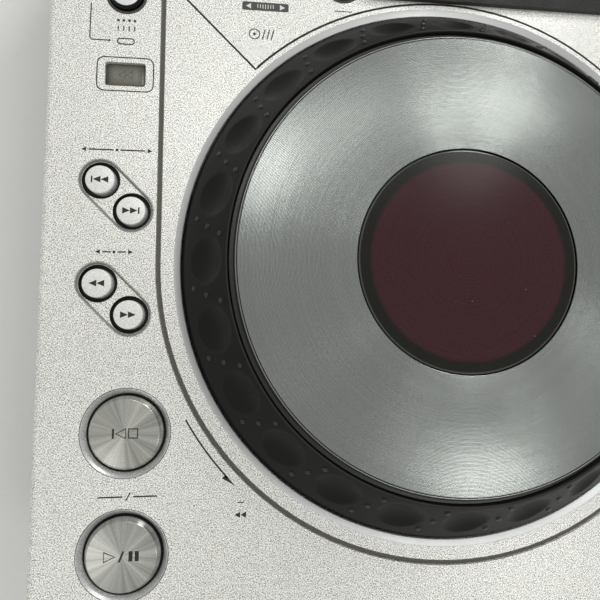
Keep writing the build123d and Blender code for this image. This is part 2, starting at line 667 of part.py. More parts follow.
# Key boards under the panel and a push switch under each key.
KEY_CENTRES = [(COLUMN_X, PLAY_Y), (COLUMN_X, CUE_Y), REVERSE_AT]
for pair_y in PAIR_YS:
    KEY_CENTRES += pair_centres(pair_y)
KEY_CENTRES += [centre for centre, radius in ROUND_KEYS.values()]
with BuildPart() as key_boards:
    add(plate((34.0, 275.0), (-127.0, -18.0), BOARD_Z, BOARD_Z + BOARD_T, corner=2.0))
    add(plate((34.0, 75.0), (128.5, 20.0), BOARD_Z, BOARD_Z + BOARD_T, corner=2.0))
    add(plate((30.0, 24.0), (131.0, 140.0), BOARD_Z, BOARD_Z + BOARD_T, corner=2.0))
    add(plate((76.0, 34.0), (-66.0, 88.0), BOARD_Z, BOARD_Z + BOARD_T, corner=2.0))

with BuildPart() as tact_switches:
    with BuildSketch(Plane.XY.offset(BOARD_Z + BOARD_T)):
        with Locations(*KEY_CENTRES):
            Rectangle(6.0, 6.0)
    extrude(amount=2.2)
    with BuildSketch(Plane.XY.offset(BOARD_Z + BOARD_T + 2.2)):
        with Locations(*KEY_CENTRES):
            Circle(1.7)
    extrude(amount=SWITCH_TOP - BOARD_Z - BOARD_T - 2.2)

# ---------------------------------------------------------------- tempo fader and brake knob
with BuildPart() as tempo_fader:
    add(plate((12.0, 128.0), (TEMPO_X, TEMPO_Y), 52.0, 66.0, corner=1.0))
    add(
        plate((5.0, 2 * TEMPO_RANGE + FADER_STEM[1] + 4), (TEMPO_X, TEMPO_Y), 56.0, 66.0),
        mode=Mode.SUBTRACT,
    )

with BuildPart() as tempo_knob:
    with BuildSketch(Plane.YZ.offset(TEMPO_X - 11.0)):
        with BuildLine():
            Polyline(
                (TEMPO_Y - 7.0, PANEL_Z + 1.0),
                (TEMPO_Y + 7.0, PANEL_Z + 1.0),
                (TEMPO_Y + 5.5, PANEL_Z + 11.0),
                (TEMPO_Y + 1.5, PANEL_Z + 9.4),
                (TEMPO_Y - 1.5, PANEL_Z + 9.4),
                (TEMPO_Y - 5.5, PANEL_Z + 11.0),
                close=True,
            )
        make_face()
    extrude(amount=22.0)
    fillet(tempo_knob.edges().filter_by(Axis.X), 0.6)
    add(plate(FADER_STEM, (TEMPO_X, TEMPO_Y), 58.0, PANEL_Z + 1.0))

with BuildPart() as brake_pot:
    add(drum(8.0, BRAKE_AT, 56.0, 67.0))
    add(drum(3.0, BRAKE_AT, 67.0, PANEL_Z + 9.0))

with BuildPart() as brake_knob:
    knob_profile = [
        (3.0 + FIT, 1.0),
        (BRAKE_R, 1.0),
        (BRAKE_R - 0.6, 12.0),
        (BRAKE_R - 1.4, 12.8),
        (0.0, 12.8),
        (0.0, 9.4),
        (3.0 + FIT, 9.4),
    ]
    add(turned(knob_profile, BRAKE_AT))
    with BuildSketch(Plane.XY.offset(PANEL_Z + 1.0)):
        with Locations((BRAKE_AT[0], BRAKE_AT[1], 0)):
            with PolarLocations(BRAKE_R + 0.6, 16):
                Circle(1.1)
    extrude(amount=10.0, mode=Mode.SUBTRACT)

# ---------------------------------------------------------------- disc slot and drive
with BuildPart() as slot_bezel:
    with BuildSketch(Plane.XZ.offset(-FRONT_Y - 0.1)):
        with Locations((0, SLOT_Z)):
            RectangleRounded(SLOT_FRAME[0] - 2 * SEAM, SLOT_FRAME[1] - 2 * SEAM, 2.8)
    extrude(amount=-1.1)
    with BuildSketch(Plane.XZ.offset(-FRONT_Y - 1.2)):
        with Locations((0, SLOT_Z)):
            Rectangle(SLOT_SIZE[0] + 9, SLOT_SIZE[1] + 4)
    extrude(amount=-4.6)
    with BuildSketch(Plane.XZ.offset(-FRONT_Y)):
        with Locations((0, SLOT_Z)):
            Rectangle(*SLOT_SIZE)
    extrude(amount=-8.0, mode=Mode.SUBTRACT)

# Steel drive chassis: a box open at the front and below, on four tabs.
with BuildPart() as drive_frame:
    depth = DRIVE_REAR_Y - DRIVE_FRONT_Y
    middle = (0, (DRIVE_REAR_Y + DRIVE_FRONT_Y) / 2)
    add(plate((2 * DRIVE_X, depth), middle, DRIVE_LOW_Z, DRIVE_TOP_Z))
    add(
        plate((2 * DRIVE_X - 2.4, depth), (0, middle[1] - SHEET), DRIVE_LOW_Z + SHEET, DRIVE_TOP_Z - SHEET),
        mode=Mode.SUBTRACT,
    )
    add(plate((92.0, 125.0), (0, -82.0), DRIVE_LOW_Z, DRIVE_LOW_Z + SHEET), mode=Mode.SUBTRACT)
    roller_slot = plate((2 * DRIVE_X - 6, 2 * ROLLER_R + 3), (0, ROLLER_Y), DRIVE_LOW_Z, DRIVE_LOW_Z + SHEET)
    add(roller_slot, mode=Mode.SUBTRACT)
    add(drum(16.0, (0, SPINDLE_Y), DRIVE_TOP_Z - SHEET, DRIVE_TOP_Z), mode=Mode.SUBTRACT)
    with BuildSketch(Plane.XY.offset(DRIVE_LOW_Z)):
        with Locations(*DAMPER_AT):
            Rectangle(18.0, 14.0)
    extrude(amount=SHEET)
    with BuildSketch(Plane.YZ.offset(-DRIVE_X - 1)):
        with Locations((ROLLER_Y, ROLLER_Z)):
            Circle(1.5 + FIT)
    extrude(amount=2 * DRIVE_X + 2, mode=Mode.SUBTRACT)

with BuildPart() as drive_dampers:
    for x, y in DAMPER_AT:
        add(drum(6.0, (x, y), DRIVE_LOW_Z - 6, DRIVE_LOW_Z))

# Rubber loading roller on its shaft.
with BuildPart() as loading_roller:
    with BuildSketch(Plane.YZ.offset(-DRIVE_X - 4)):
        with Locations((ROLLER_Y, ROLLER_Z)):
            Circle(1.5)
    extrude(amount=2 * DRIVE_X + 8)
    with BuildSketch(Plane.YZ.offset(-DRIVE_X + 5)):
        with Locations((ROLLER_Y, ROLLER_Z)):
            Circle(ROLLER_R)
    extrude(amount=2 * DRIVE_X - 10)

# Traverse plate that lifts the turntable and the pickup to the loaded disc.
TRAVERSE_Z = 39.6
with BuildPart() as traverse_plate:
    add(plate((80.0, 108.0), (0, -74.0), TRAVERSE_Z, TRAVERSE_Z + SHEET, corner=3.0))
    add(plate((34.0, 60.0), (0, -53.0), TRAVERSE_Z, TRAVERSE_Z + SHEET), mode=Mode.SUBTRACT)
    add(drum(2.6, (0, SPINDLE_Y), TRAVERSE_Z, TRAVERSE_Z + SHEET), mode=Mode.SUBTRACT)
    for x in (-RAIL_X, RAIL_X, SCREW_X):
        for y in (-91.0, -22.5):
            add(plate((6.0, 3.0), (x, y), TRAVERSE_Z + SHEET, RAIL_Z + 2.4))
    with BuildSketch(Plane.XZ.offset(120)):
        with Locations((-RAIL_X, RAIL_Z), (RAIL_X, RAIL_Z)):
            Circle(RAIL_R)
        with Locations((SCREW_X, RAIL_Z)):
            Circle(RAIL_R + FIT)
    extrude(amount=-110, mode=Mode.SUBTRACT)

with BuildPart() as sled_rails:
    with BuildSketch(Plane.XZ.offset(93.0)):
        with Locations((-RAIL_X, RAIL_Z), (RAIL_X, RAIL_Z)):
            Circle(RAIL_R)
    extrude(amount=-73.0)

# Lead screw that drives the pickup, with a collar at each end.
with BuildPart() as lead_screw:
    with BuildSketch(Plane.XZ.offset(96.0)):
        with Locations((SCREW_X, RAIL_Z)):
            Circle(RAIL_R)
    extrude(amount=-76.0)
    with BuildSketch(Plane.XZ.offset(95.0)):
        with Locations((SCREW_X, RAIL_Z)):
            Circle(2.3)
    extrude(amount=-2.0)

with BuildPart() as spindle_motor:
    add(drum(12.5, (0, SPINDLE_Y), 33.0, TRAVERSE_Z))
    add(drum(1.0, (0, SPINDLE_Y), TRAVERSE_Z, 44.6))

# Turntable with its centring cone.
with BuildPart() as disc_hub:
    add(drum(14.0, (0, SPINDLE_Y), 41.8, 43.4))
    add(drum(7.3, (0, SPINDLE_Y), 43.4, 45.0))
    chamfer(disc_hub.faces().sort_by(Axis.Z)[-1].edges(), 0.8)
    add(drum(1.0 + FIT, (0, SPINDLE_Y), 41.8, 44.7), mode=Mode.SUBTRACT)

# Optical pickup on the two rails.
SLED_Y = -74.0
with BuildPart() as pickup_sled:
    add(plate((52.0, 20.0), (0, SLED_Y), 41.4, 45.6, corner=1.5))
    add(drum(4.2, (0, SLED_Y), 45.6, 46.1))
    add(plate((8.0, 8.0), (SCREW_X, SLED_Y), 41.4, 45.4))
    with BuildSketch(Plane.XZ.offset(-SLED_Y + 12)):
        with Locations((-RAIL_X, RAIL_Z), (RAIL_X, RAIL_Z), (SCREW_X, RAIL_Z)):
            Circle(RAIL_R + FIT)
    extrude(amount=-24, mode=Mode.SUBTRACT)

# ---------------------------------------------------------------- circuit boards
MAIN_CHIPS = [
    ((28.0, 28.0), (-60.0, 120.0), 2.4),
    ((20.0, 20.0), (-104.0, 118.0), 2.0),
    ((12.0, 18.0), (-20.0, 128.0), 1.8),
    ((24.0, 8.0), (-60.0, 90.0), 2.0),
    ((40.0, 6.0), (-20.0, 76.0), 7.0),
    ((30.0, 6.0), (-110.0, 76.0), 7.0),
]
BOARD_LOW_Z = 18.0
STANDOFFS = [(x, y) for x in (-134.0, 34.0, 56.0, 136.0) for y in (70.0, 148.0)]
with BuildPart() as main_board:
    add(plate((180.0, 88.0), (-50.0, 109.0), BOARD_LOW_Z, BOARD_LOW_Z + BOARD_T))
    for size, centre, height in MAIN_CHIPS:
        add(plate(size, centre, BOARD_LOW_Z + BOARD_T, BOARD_LOW_Z + BOARD_T + height))
    for x, y in STANDOFFS[:4]:
        add(drum(3.0, (x, y), FLOOR_Z, BOARD_LOW_Z))

with BuildPart() as power_board:
    add(plate((90.0, 88.0), (96.0, 109.0), BOARD_LOW_Z, BOARD_LOW_Z + BOARD_T))
    add(plate((42.0, 36.0), (80.0, 112.0), BOARD_LOW_Z + BOARD_T, 52.0, corner=3.0))
    for x, y in ((118.0, 84.0), (130.0, 84.0), (118.0, 98.0)):
        add(drum(5.0, (x, y), BOARD_LOW_Z + BOARD_T, 38.0))
    add(plate((30.0, 3.0), (122.0, 116.0), BOARD_LOW_Z + BOARD_T, 44.0))
    for x, y in STANDOFFS[4:]:
        add(drum(3.0, (x, y), FLOOR_Z, BOARD_LOW_Z))

# ---------------------------------------------------------------- write every node
pieces = {
    "top_case": top_case,
    "jog_deck": jog_deck,
    "display_deck": display_deck,
    "display_bezel": display_bezel,
    "display_window": display_window,
    "display_module": display_module,
    "transport_bezels": transport_bezels,
    "key_plates": key_plates,
    "button_bezels": button_bezels,
    "base_tray": base_tray,
    "feet": feet,
    "rear_panel": rear_panel,
    "case_screws": case_screws,
    "rear_jacks": rear_jacks,
    "ac_inlet": ac_inlet,
    "power_rocker": power_rocker,
    "jog_ring": jog_ring,
    "jog_hub": jog_hub,
    "touch_switch_ring": touch_switch_ring,
    "encoder_ring": encoder_ring,
    "encoder_sensor": encoder_sensor,
    "jog_carrier": jog_carrier,
    "jog_display": jog_display,
    "jog_plate": jog_plate,
    "jog_window": jog_window,
    "key_boards": key_boards,
    "tact_switches": tact_switches,
    "tempo_fader": tempo_fader,
    "tempo_knob": tempo_knob,
    "brake_pot": brake_pot,
    "brake_knob": brake_knob,
    "slot_bezel": slot_bezel,
    "drive_frame": drive_frame,
    "drive_dampers": drive_dampers,
    "loading_roller": loading_roller,
    "traverse_plate": traverse_plate,
    "sled_rails": sled_rails,
    "lead_screw": lead_screw,
    "spindle_motor": spindle_motor,
    "disc_hub": disc_hub,
    "pickup_sled": pickup_sled,
    "main_board": main_board,
    "power_board": power_board,
    **keys,
}
for piece_name, piece in pieces.items():
    piece.part.label = piece_name
    export_step(piece.part, f"parts/{piece_name}.step")
print(len(pieces), "nodes written")
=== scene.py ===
import math
import random

import bmesh
import bpy
from mathutils import Matrix, Vector


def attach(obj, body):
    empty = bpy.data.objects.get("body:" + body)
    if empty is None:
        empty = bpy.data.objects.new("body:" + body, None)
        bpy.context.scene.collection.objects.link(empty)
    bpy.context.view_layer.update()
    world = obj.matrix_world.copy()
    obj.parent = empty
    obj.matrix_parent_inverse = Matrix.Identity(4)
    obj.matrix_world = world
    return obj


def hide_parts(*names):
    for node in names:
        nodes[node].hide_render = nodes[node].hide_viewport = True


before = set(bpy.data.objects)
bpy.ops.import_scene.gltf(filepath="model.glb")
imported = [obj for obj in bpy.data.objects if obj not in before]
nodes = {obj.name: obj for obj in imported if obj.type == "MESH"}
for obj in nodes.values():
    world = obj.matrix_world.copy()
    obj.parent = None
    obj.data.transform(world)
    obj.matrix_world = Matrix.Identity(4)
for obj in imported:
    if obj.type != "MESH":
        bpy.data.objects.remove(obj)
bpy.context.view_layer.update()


# ---------------------------------------------------------------- base tray and rear panel
# A folded steel tray and a flat rear sheet, both powder coated black. The coat has a fine
# orange-peel texture, is rubbed at the folds and holds a little dust.
def effect_group(name, inputs, outputs):
    """An empty node group: its tree, the sockets it is given and those of its result."""
    tree = bpy.data.node_groups.new(name, "ShaderNodeTree")
    for label, kind, value in inputs:
        socket = tree.interface.new_socket(label, in_out="INPUT", socket_type="NodeSocket" + kind)
        socket.default_value = value
    for label, kind in outputs:
        tree.interface.new_socket(label, in_out="OUTPUT", socket_type="NodeSocket" + kind)
    given, result = tree.nodes.new("NodeGroupInput"), tree.nodes.new("NodeGroupOutput")
    return tree, given.outputs, result.inputs


def plug(tree, sockets, values):
    """Links sockets, by name, to other sockets, or sets them to values."""
    for key, value in values.items():
        if isinstance(value, bpy.types.NodeSocket):
            tree.links.new(value, sockets[key])
        else:
            sockets[key].default_value = value


def wire(tree, kind, inputs=None, **settings):
    """A new node with its settings and inputs; gives back its outputs."""
    made = tree.nodes.new("ShaderNode" + kind)
    for key, value in settings.items():
        setattr(made, key, value)
    plug(tree, made.inputs, inputs or {})
    return made.outputs


def maths(tree, operation, first, second=0.0):
    """A Math node on two sockets or numbers."""
    return wire(tree, "Math", {0: first, 1: second}, operation=operation)[0]


def total(tree, first, *others):
    """A sum of sockets and numbers."""
    for other in others:
        first = maths(tree, "ADD", first, other)
    return first


def times(tree, first, *others):
    """A product of sockets and numbers."""
    for other in others:
        first = maths(tree, "MULTIPLY", first, other)
    return first


def swing(tree, value, size):
    """Noise set about zero, of a size."""
    return times(tree, maths(tree, "SUBTRACT", value, 0.5), size)


def ramp(tree, value, start, end, low=0.0, high=1.0, **settings):
    """A value carried over from one range to another, and held at its ends."""
    ranges = {"Value": value, "From Min": start, "From Max": end, "To Min": low, "To Max": high}
    return wire(tree, "MapRange", ranges, **settings)[0]


def scaled(tree, colour, gain):
    """A colour or a direction times a number."""
    return wire(tree, "VectorMath", {0: colour, "Scale": gain}, operation="SCALE")[0]


def place_on(tree):
    """The place on the piece, in metres."""
    return wire(tree, "TexCoord")["Object"]


def noise(tree, place, scale, detail, roughness=0.5):
    """Cloudy noise."""
    inputs = {"Vector": place, "Scale": scale, "Detail": detail, "Roughness": roughness}
    return wire(tree, "TexNoise", inputs)[0]


def build_surface_grain():
    """Colour drift, roughness drift and fine grain of moulded plastic or a coat of paint."""
    tree, given, result = effect_group(
        "surface_grain",
        [
            ("Colour", "Color", (0.5, 0.5, 0.5, 1)),
            ("Drift", "Float", 0.08),
            ("Roughness", "Float", 0.5),
            ("Roughness drift", "Float", 0.06),
            ("Grains per metre", "Float", 1500.0),
        ],
        [("Colour", "Color"), ("Roughness", "Float"), ("Height", "Float")],
    )
    place = place_on(tree)
    fine = noise(tree, place, given["Grains per metre"], 2.0)
    cloudy = noise(tree, place, 34.0, 5.0, 0.6)
    both = total(tree, times(tree, fine, 0.5), times(tree, cloudy, 0.5))
    gain = total(tree, times(tree, swing(tree, both, 4.0), given["Drift"]), 1.0)
    drift = times(tree, swing(tree, cloudy, given["Roughness drift"]), 4.0)
    tinted = scaled(tree, given["Colour"], gain)
    rough = total(tree, given["Roughness"], drift)
    plug(tree, result, {"Colour": tinted, "Roughness": rough, "Height": fine})
    return tree


def build_rubbed_edges():
    """Rounded normals at the edges and a broken mask along them, where hands and cloths rub."""
    tree, given, result = effect_group(
        "rubbed_edges",
        [("Width", "Float", 0.0004), ("Patches per metre", "Float", 160.0)],
        [("Mask", "Float"), ("Normal", "Vector")],
    )
    rounded = wire(tree, "Bevel", {"Radius": given["Width"]}, samples=4)[0]
    flat = wire(tree, "NewGeometry")["Normal"]
    facing = wire(tree, "VectorMath", {0: rounded, 1: flat}, operation="DOT_PRODUCT")["Value"]
    bent = ramp(tree, maths(tree, "SUBTRACT", 1.0, facing), 0.04, 0.22)
    broken = ramp(tree, noise(tree, place_on(tree), given["Patches per metre"], 4.0), 0.42, 0.62)
    plug(tree, result, {"Mask": times(tree, broken, bent), "Normal": rounded})
    return tree


def cells(tree, place, scale):
    """Single cells, as flakes and specks need."""
    return wire(tree, "TexVoronoi", {"Vector": place, "Scale": scale})


def build_settled_dust():
    """Where dust lies: on faces that look up, in soft patches with single specks."""
    tree, given, result = effect_group(
        "settled_dust", [("Amount", "Float", 0.1)], [("Mask", "Float")]
    )
    up = wire(tree, "SeparateXYZ", {0: wire(tree, "NewGeometry")["Normal"]})["Z"]
    place = place_on(tree)
    patch = ramp(tree, noise(tree, place, 25.0, 6.0, 0.7), 0.45, 0.75)
    speck = ramp(tree, cells(tree, place, 240.0)["Distance"], 0.1, 0.05)
    lying = times(tree, total(tree, patch, speck), ramp(tree, up, 0.5, 0.95), given["Amount"])
    plug(tree, result, {"Mask": lying})
    return tree


surface_grain = build_surface_grain()
rubbed_edges = build_rubbed_edges()
settled_dust = build_settled_dust()


def effect(tree, shared, **values):
    """A shared effect, placed with its own values."""
    named = {label.replace("_", " "): value for label, value in values.items()}
    return wire(tree, "Group", named, node_tree=shared)


def blended(tree, factor, first, second):
    """One colour over another, by a mask."""
    return wire(tree, "Mix", {0: factor, 6: first, 7: second}, data_type="RGBA")[2]


def bumped(tree, height, depth, **others):
    """The normal of a fine relief, of a depth in metres."""
    return wire(tree, "Bump", {"Height": height, "Distance": depth, **others})[0]


def new_material(name, **fixed):
    """A material, its tree and its shader's inputs, of which some are set to constants."""
    material = bpy.data.materials.new(name)
    material.use_nodes = True
    surface = material.node_tree.nodes["Principled BSDF"].inputs
    for label, value in fixed.items():
        surface[label.replace("_", " ")].default_value = value
    return material, material.node_tree, surface


def finish(
    name, colour, roughness, grain, depth, drift=0.06, worn=None, dust=0.0, width=0.0003, **fixed
):
    """A material of a coated, moulded or plated surface: grain, rubbed edges and settled dust."""
    material, tree, surface = new_material(name, **fixed)
    look = effect(
        tree,
        surface_grain,
        Colour=(*colour, 1),
        Drift=drift,
        Roughness=roughness,
        Grains_per_metre=grain,
    )
    edges = effect(tree, rubbed_edges, Width=width)
    shade = look["Colour"]
    if worn:
        shade = blended(tree, edges["Mask"], shade, (*worn, 1))
    if dust:
        lying = effect(tree, settled_dust, Amount=dust)["Mask"]
        shade = blended(tree, lying, shade, (0.55, 0.53, 0.49, 1))
    bump = bumped(tree, look["Height"], depth, Normal=edges["Normal"])
    plug(tree, surface, {"Base Color": shade, "Roughness": look["Roughness"], "Normal": bump})
    return material


def dress(material, *names):
    """Gives CAD nodes their material."""
    for name in names:
        for slot in nodes[name].material_slots:
            slot.material = material


powder_coat = finish(
    "powder_coat", (0.028, 0.028, 0.03), 0.5, 900.0, 0.0003, worn=(0.16, 0.16, 0.16), dust=0.12
)
dress(powder_coat, "base_tray", "rear_panel")


# ---------------------------------------------------------------- feet
# Four round moulded rubber feet with a rounded rim, pressed into the tray. They are matt black
# and greyed by the table they stand on.
def softened(corners):
    """A closed profile of corners (radius, height, fillet), where the fillet may be left out."""
    rounded = []
    for i, (r, h, *fillet) in enumerate(corners):
        corner = Vector((r, h))
        if not fillet:
            rounded.append(corner)
            continue
        before = Vector(corners[i - 1][:2]) - corner
        after = Vector(corners[(i + 1) % len(corners)][:2]) - corner
        reach = min(fillet[0], before.length * 0.49, after.length * 0.49)
        start, end = corner + before.normalized() * reach, corner + after.normalized() * reach
        for step in range(5):
            t = step / 4
            rounded.append(start * (1 - t) ** 2 + corner * (2 * t * (1 - t)) + end * t**2)
    return rounded


def turned(profile, centre, steps):
    """A closed profile turned about the upright axis at centre, as points in mm and faces."""
    x, y = centre
    points, faces = [], []
    count = len(profile)
    for k in range(steps):
        angle = 2 * math.pi * k / steps
        c, s = math.cos(angle), math.sin(angle)
        points += [(x + r * c, y + r * s, h) for r, h in profile]
        a, b = k * count, (k + 1) % steps * count
        for i in range(count):
            j = (i + 1) % count
            face = [a + i, b + i, b + j, a + j]
            for end in (i, j):
                if profile[end][0] < 1e-6:
                    face.remove(b + end)
            if len(face) > 2:
                faces.append(face)
    return points, faces


def joined(*shapes):
    """Several shapes as one."""
    points, faces = [], []
    for shape_points, shape_faces in shapes:
        base = len(points)
        points += shape_points
        faces += [[base + i for i in face] for face in shape_faces]
    return points, faces


def piece(name, shape, material, body, replaced=(), sharp=32.0):
    """A mesh piece, shaped in mm, that rides on its body and may stand for CAD nodes."""
    points, faces = shape
    mesh = bpy.data.meshes.new(name)
    mesh.from_pydata([(x / 1000, y / 1000, z / 1000) for x, y, z in points], [], faces)
    work = bmesh.new()
    work.from_mesh(mesh)
    bmesh.ops.remove_doubles(work, verts=work.verts, dist=1e-7)
    bmesh.ops.recalc_face_normals(work, faces=work.faces)
    work.to_mesh(mesh)
    work.free()
    mesh.shade_smooth()
    mesh.set_sharp_from_angle(angle=math.radians(sharp))
    mesh.materials.append(material)
    made = bpy.data.objects.new(name, mesh)
    bpy.context.scene.collection.objects.link(made)
    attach(made, body)
    if replaced:
        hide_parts(*replaced)


foot_profile = softened(
    [(0, 0.4), (10.6, 0.4), (11.2, 0, 0.3), (11.8, 0, 0.5), (13, 1.4, 0.6), (13, 7.2, 0.4)]
    + [(12.2, 8, 0.3), (0, 8)]
)
foot_rubber = finish("foot_rubber", (0.03, 0.03, 0.029), 0.7, 1400.0, 0.0002, drift=0.12, dust=0.2)
feet_shape = joined(*(turned(foot_profile, (x, y), 64) for x in (-124, 124) for y in (-142, 132)))
piece("rubber_feet", feet_shape, foot_rubber, "root", ["feet"])


# ---------------------------------------------------------------- case screws
# Black zinc-plated pan-head screws that close the tray and the rear panel. The drivers have
# rubbed their crossed recesses bright.
def along_rear(shape, x, y, z):
    """Turns an upright shape to look to the rear, and sets it at a place."""
    points, faces = shape
    return [(px + x, pz + y, z - py) for px, py, pz in points], faces


def prism(outline, low, high):
    """A closed plate with a polygon as its plan."""
    count = len(outline)
    points = [(x, y, low) for x, y in outline] + [(x, y, high) for x, y in outline]
    faces = [list(range(count))[::-1], list(range(count, 2 * count))]
    faces += [[i, (i + 1) % count, count + (i + 1) % count, count + i] for i in range(count)]
    return points, faces


screw_zinc = finish(
    "screw_zinc", (0.05, 0.05, 0.052), 0.35, 2200.0, 0.0001, worn=(0.35, 0.34, 0.32), Metallic=0.8
)
dress(screw_zinc, "case_screws")
recess_steel = finish("recess_steel", (0.16, 0.16, 0.155), 0.3, 2600.0, 0.0001, Metallic=0.9)
cross = [(0.35, 1.6), (0.35, 0.35), (1.6, 0.35), (1.6, -0.35), (0.35, -0.35), (0.35, -1.6)]
cross += [(-x, -y) for x, y in cross]
recesses = [along_rear(prism(cross, 0, 0.04), x, 163.3, 62) for x in (-138, -40, 40, 138)]
piece("screw_recesses", joined(*recesses), recess_steel, "root")


# ---------------------------------------------------------------- rear connections
# Nickel-plated phono and control sockets with coloured insulating rings, a two-pin mains inlet
# in a moulded shroud, and the glossy mains rocker with its on and off marks.
nickel_worn = (0.8, 0.78, 0.7)
nickel = finish(
    "nickel", (0.62, 0.6, 0.55), 0.22, 1800.0, 0.00005, drift=0.05, worn=nickel_worn, Metallic=1.0
)
dress(nickel, "rear_jacks")
insulator_ring = softened([(1.9, 0, 0.1), (1.9, 0.25, 0.1), (3.3, 0.25, 0.1), (3.3, 0, 0.1)])
for label, x, z, colour in (
    ("left", -118, 50, (0.75, 0.74, 0.7)),
    ("right", -118, 30, (0.5, 0.02, 0.02)),
    ("digital", -92, 40, (0.7, 0.26, 0.03)),
):
    moulded = finish(f"insulator_{label}", colour, 0.4, 2000.0, 0.0001)
    shape = along_rear(turned(insulator_ring, (0, 0), 48), x, 170.5, z)
    piece(f"phono_insulator_{label}", shape, moulded, "root")
inlet_plastic = finish("inlet_plastic", (0.025, 0.025, 0.026), 0.45, 1600.0, 0.0002, dust=0.05)
dress(inlet_plastic, "ac_inlet")
rocker_gloss = finish(
    "rocker_gloss", (0.02, 0.02, 0.021), 0.22, 1200.0, 0.00005, worn=(0.09, 0.09, 0.09)
)
dress(rocker_gloss, "power_rocker")


# ---------------------------------------------------------------- circuit boards
# Green lacquered boards with copper tracks under the lacquer, black chips and tall capacitors.
# The key boards carry a small push switch under every key.
def build_board_lacquer():
    """Solder mask over copper tracks, which run square to each other and end in tinned pads."""
    material, tree, surface = new_material("board_lacquer", Roughness=0.3)
    place = place_on(tree)
    bricks = {"Vector": place, "Scale": 95.0, "Mortar Size": 0.06, "Mortar Smooth": 0.1}
    tracks = wire(tree, "TexBrick", bricks)["Fac"]
    pad = ramp(tree, cells(tree, place, 330.0)["Distance"], 0.17, 0.12)
    lacquer = blended(tree, tracks, (0.012, 0.085, 0.035, 1), (0.03, 0.16, 0.06, 1))
    deep = blended(tree, noise(tree, place, 60.0, 3.0), (0.01, 0.07, 0.03, 1), lacquer)
    tinned = blended(tree, pad, deep, (0.5, 0.5, 0.47, 1))
    bump = bumped(tree, tracks, 0.00008)
    plug(tree, surface, {"Base Color": tinned, "Metallic": pad, "Normal": bump})
    return material


board_lacquer = build_board_lacquer()
dress(board_lacquer, "key_boards", "main_board", "power_board")
switch_plastic = finish("switch_plastic", (0.03, 0.03, 0.03), 0.5, 2000.0, 0.0001)
dress(switch_plastic, "tact_switches")


# ---------------------------------------------------------------- disc drive
# The slot-loading drive: a zinc-plated sheet chassis on rubber dampers, a rubber roller, and a
# traverse with the turntable, the optical pickup, its two polished rails and its screw.
zinc_worn = (0.7, 0.7, 0.68)
zinc_sheet = finish(
    "zinc_sheet", (0.5, 0.51, 0.5), 0.38, 700.0, 0.0002, drift=0.12, worn=zinc_worn, Metallic=1.0
)
dress(zinc_sheet, "drive_frame", "traverse_plate", "spindle_motor")
polished_rod = finish(
    "polished_rod", (0.66, 0.66, 0.65), 0.16, 2500.0, 0.00004, drift=0.04, Metallic=1.0
)
dress(polished_rod, "sled_rails", "lead_screw")
dress(foot_rubber, "drive_dampers", "loading_roller")
glass_filled_black = finish(
    "glass_filled_black", (0.035, 0.035, 0.036), 0.5, 1500.0, 0.0003, drift=0.15
)
dress(glass_filled_black, "disc_hub", "pickup_sled")
lens_glass = finish("lens_glass", (0.05, 0.03, 0.1), 0.05, 900.0, 0.00002, Coat_Weight=1.0)
lens_dome = softened(
    [(0, 46.1), (2.6, 46.1, 0.1), (2.5, 46.35, 0.2), (1.4, 46.75, 0.5), (0, 46.85)]
)
piece("pickup_lens", turned(lens_dome, (0, -74), 48), lens_glass, "pickup")


# ---------------------------------------------------------------- disc slot
# A black moulded frame in the front face, with two strips of felt that wipe the disc and leave
# a narrow slit between them.
slot_plastic = finish(
    "slot_plastic", (0.022, 0.022, 0.023), 0.42, 1500.0, 0.0002, worn=(0.08, 0.08, 0.08), dust=0.06
)
dress(slot_plastic, "slot_bezel")


def wrapped(rings, count, closed=False):
    """Faces between successive rings of count points, from the last to the first if closed."""
    faces = []
    for k in range(rings if closed else rings - 1):
        a, b = k * count, (k + 1) % rings * count
        faces += [[a + i, b + i, b + (i + 1) % count, a + (i + 1) % count] for i in range(count)]
    return faces


def felt_strip(held, free, seed):
    """A strip along the slot, held at one height, whose free edge is wavy with fibres."""
    random.seed(seed)
    columns, slit = 321, 48.8
    points = []
    for i in range(columns):
        x = -64.0 + 128.0 * i / (columns - 1)
        edge = []
        for y, bulge in ((-171.6, 0.35), (-171.2, 0.1), (-170.6, 0.0), (-170.0, 0.1)):
            fray = random.uniform(-0.12, 0.12)
            edge.append((x, y, (free - slit) * (1 + bulge * 0.3) + fray + slit))
        points += edge + [(x, y, held) for x, y, h in reversed(edge)]
    faces = wrapped(columns, 8)
    for end in (0, len(points) - 8):
        faces += [[end + j, end + j + 1, end + 6 - j, end + 7 - j] for j in range(3)]
    return points, faces


felt = finish("felt", (0.018, 0.018, 0.02), 0.95, 3500.0, 0.0006, drift=0.3, Sheen_Weight=0.5)
strips = joined(felt_strip(46.1, 48.2, 461), felt_strip(51.5, 49.4, 494))
piece("slot_felt", strips, felt, "root")


# ---------------------------------------------------------------- top case and decks
# Injection-moulded case, jog deck and display deck in silver metallic lacquer: fine flakes in a
# clear coat, which sparkle singly, over a slightly warm ground. Edges are softly rounded.
def vectors(tree, operation, first, second):
    """A Vector Math node on two sockets or vectors."""
    return wire(tree, "VectorMath", {0: first, 1: second}, operation=operation)[0]


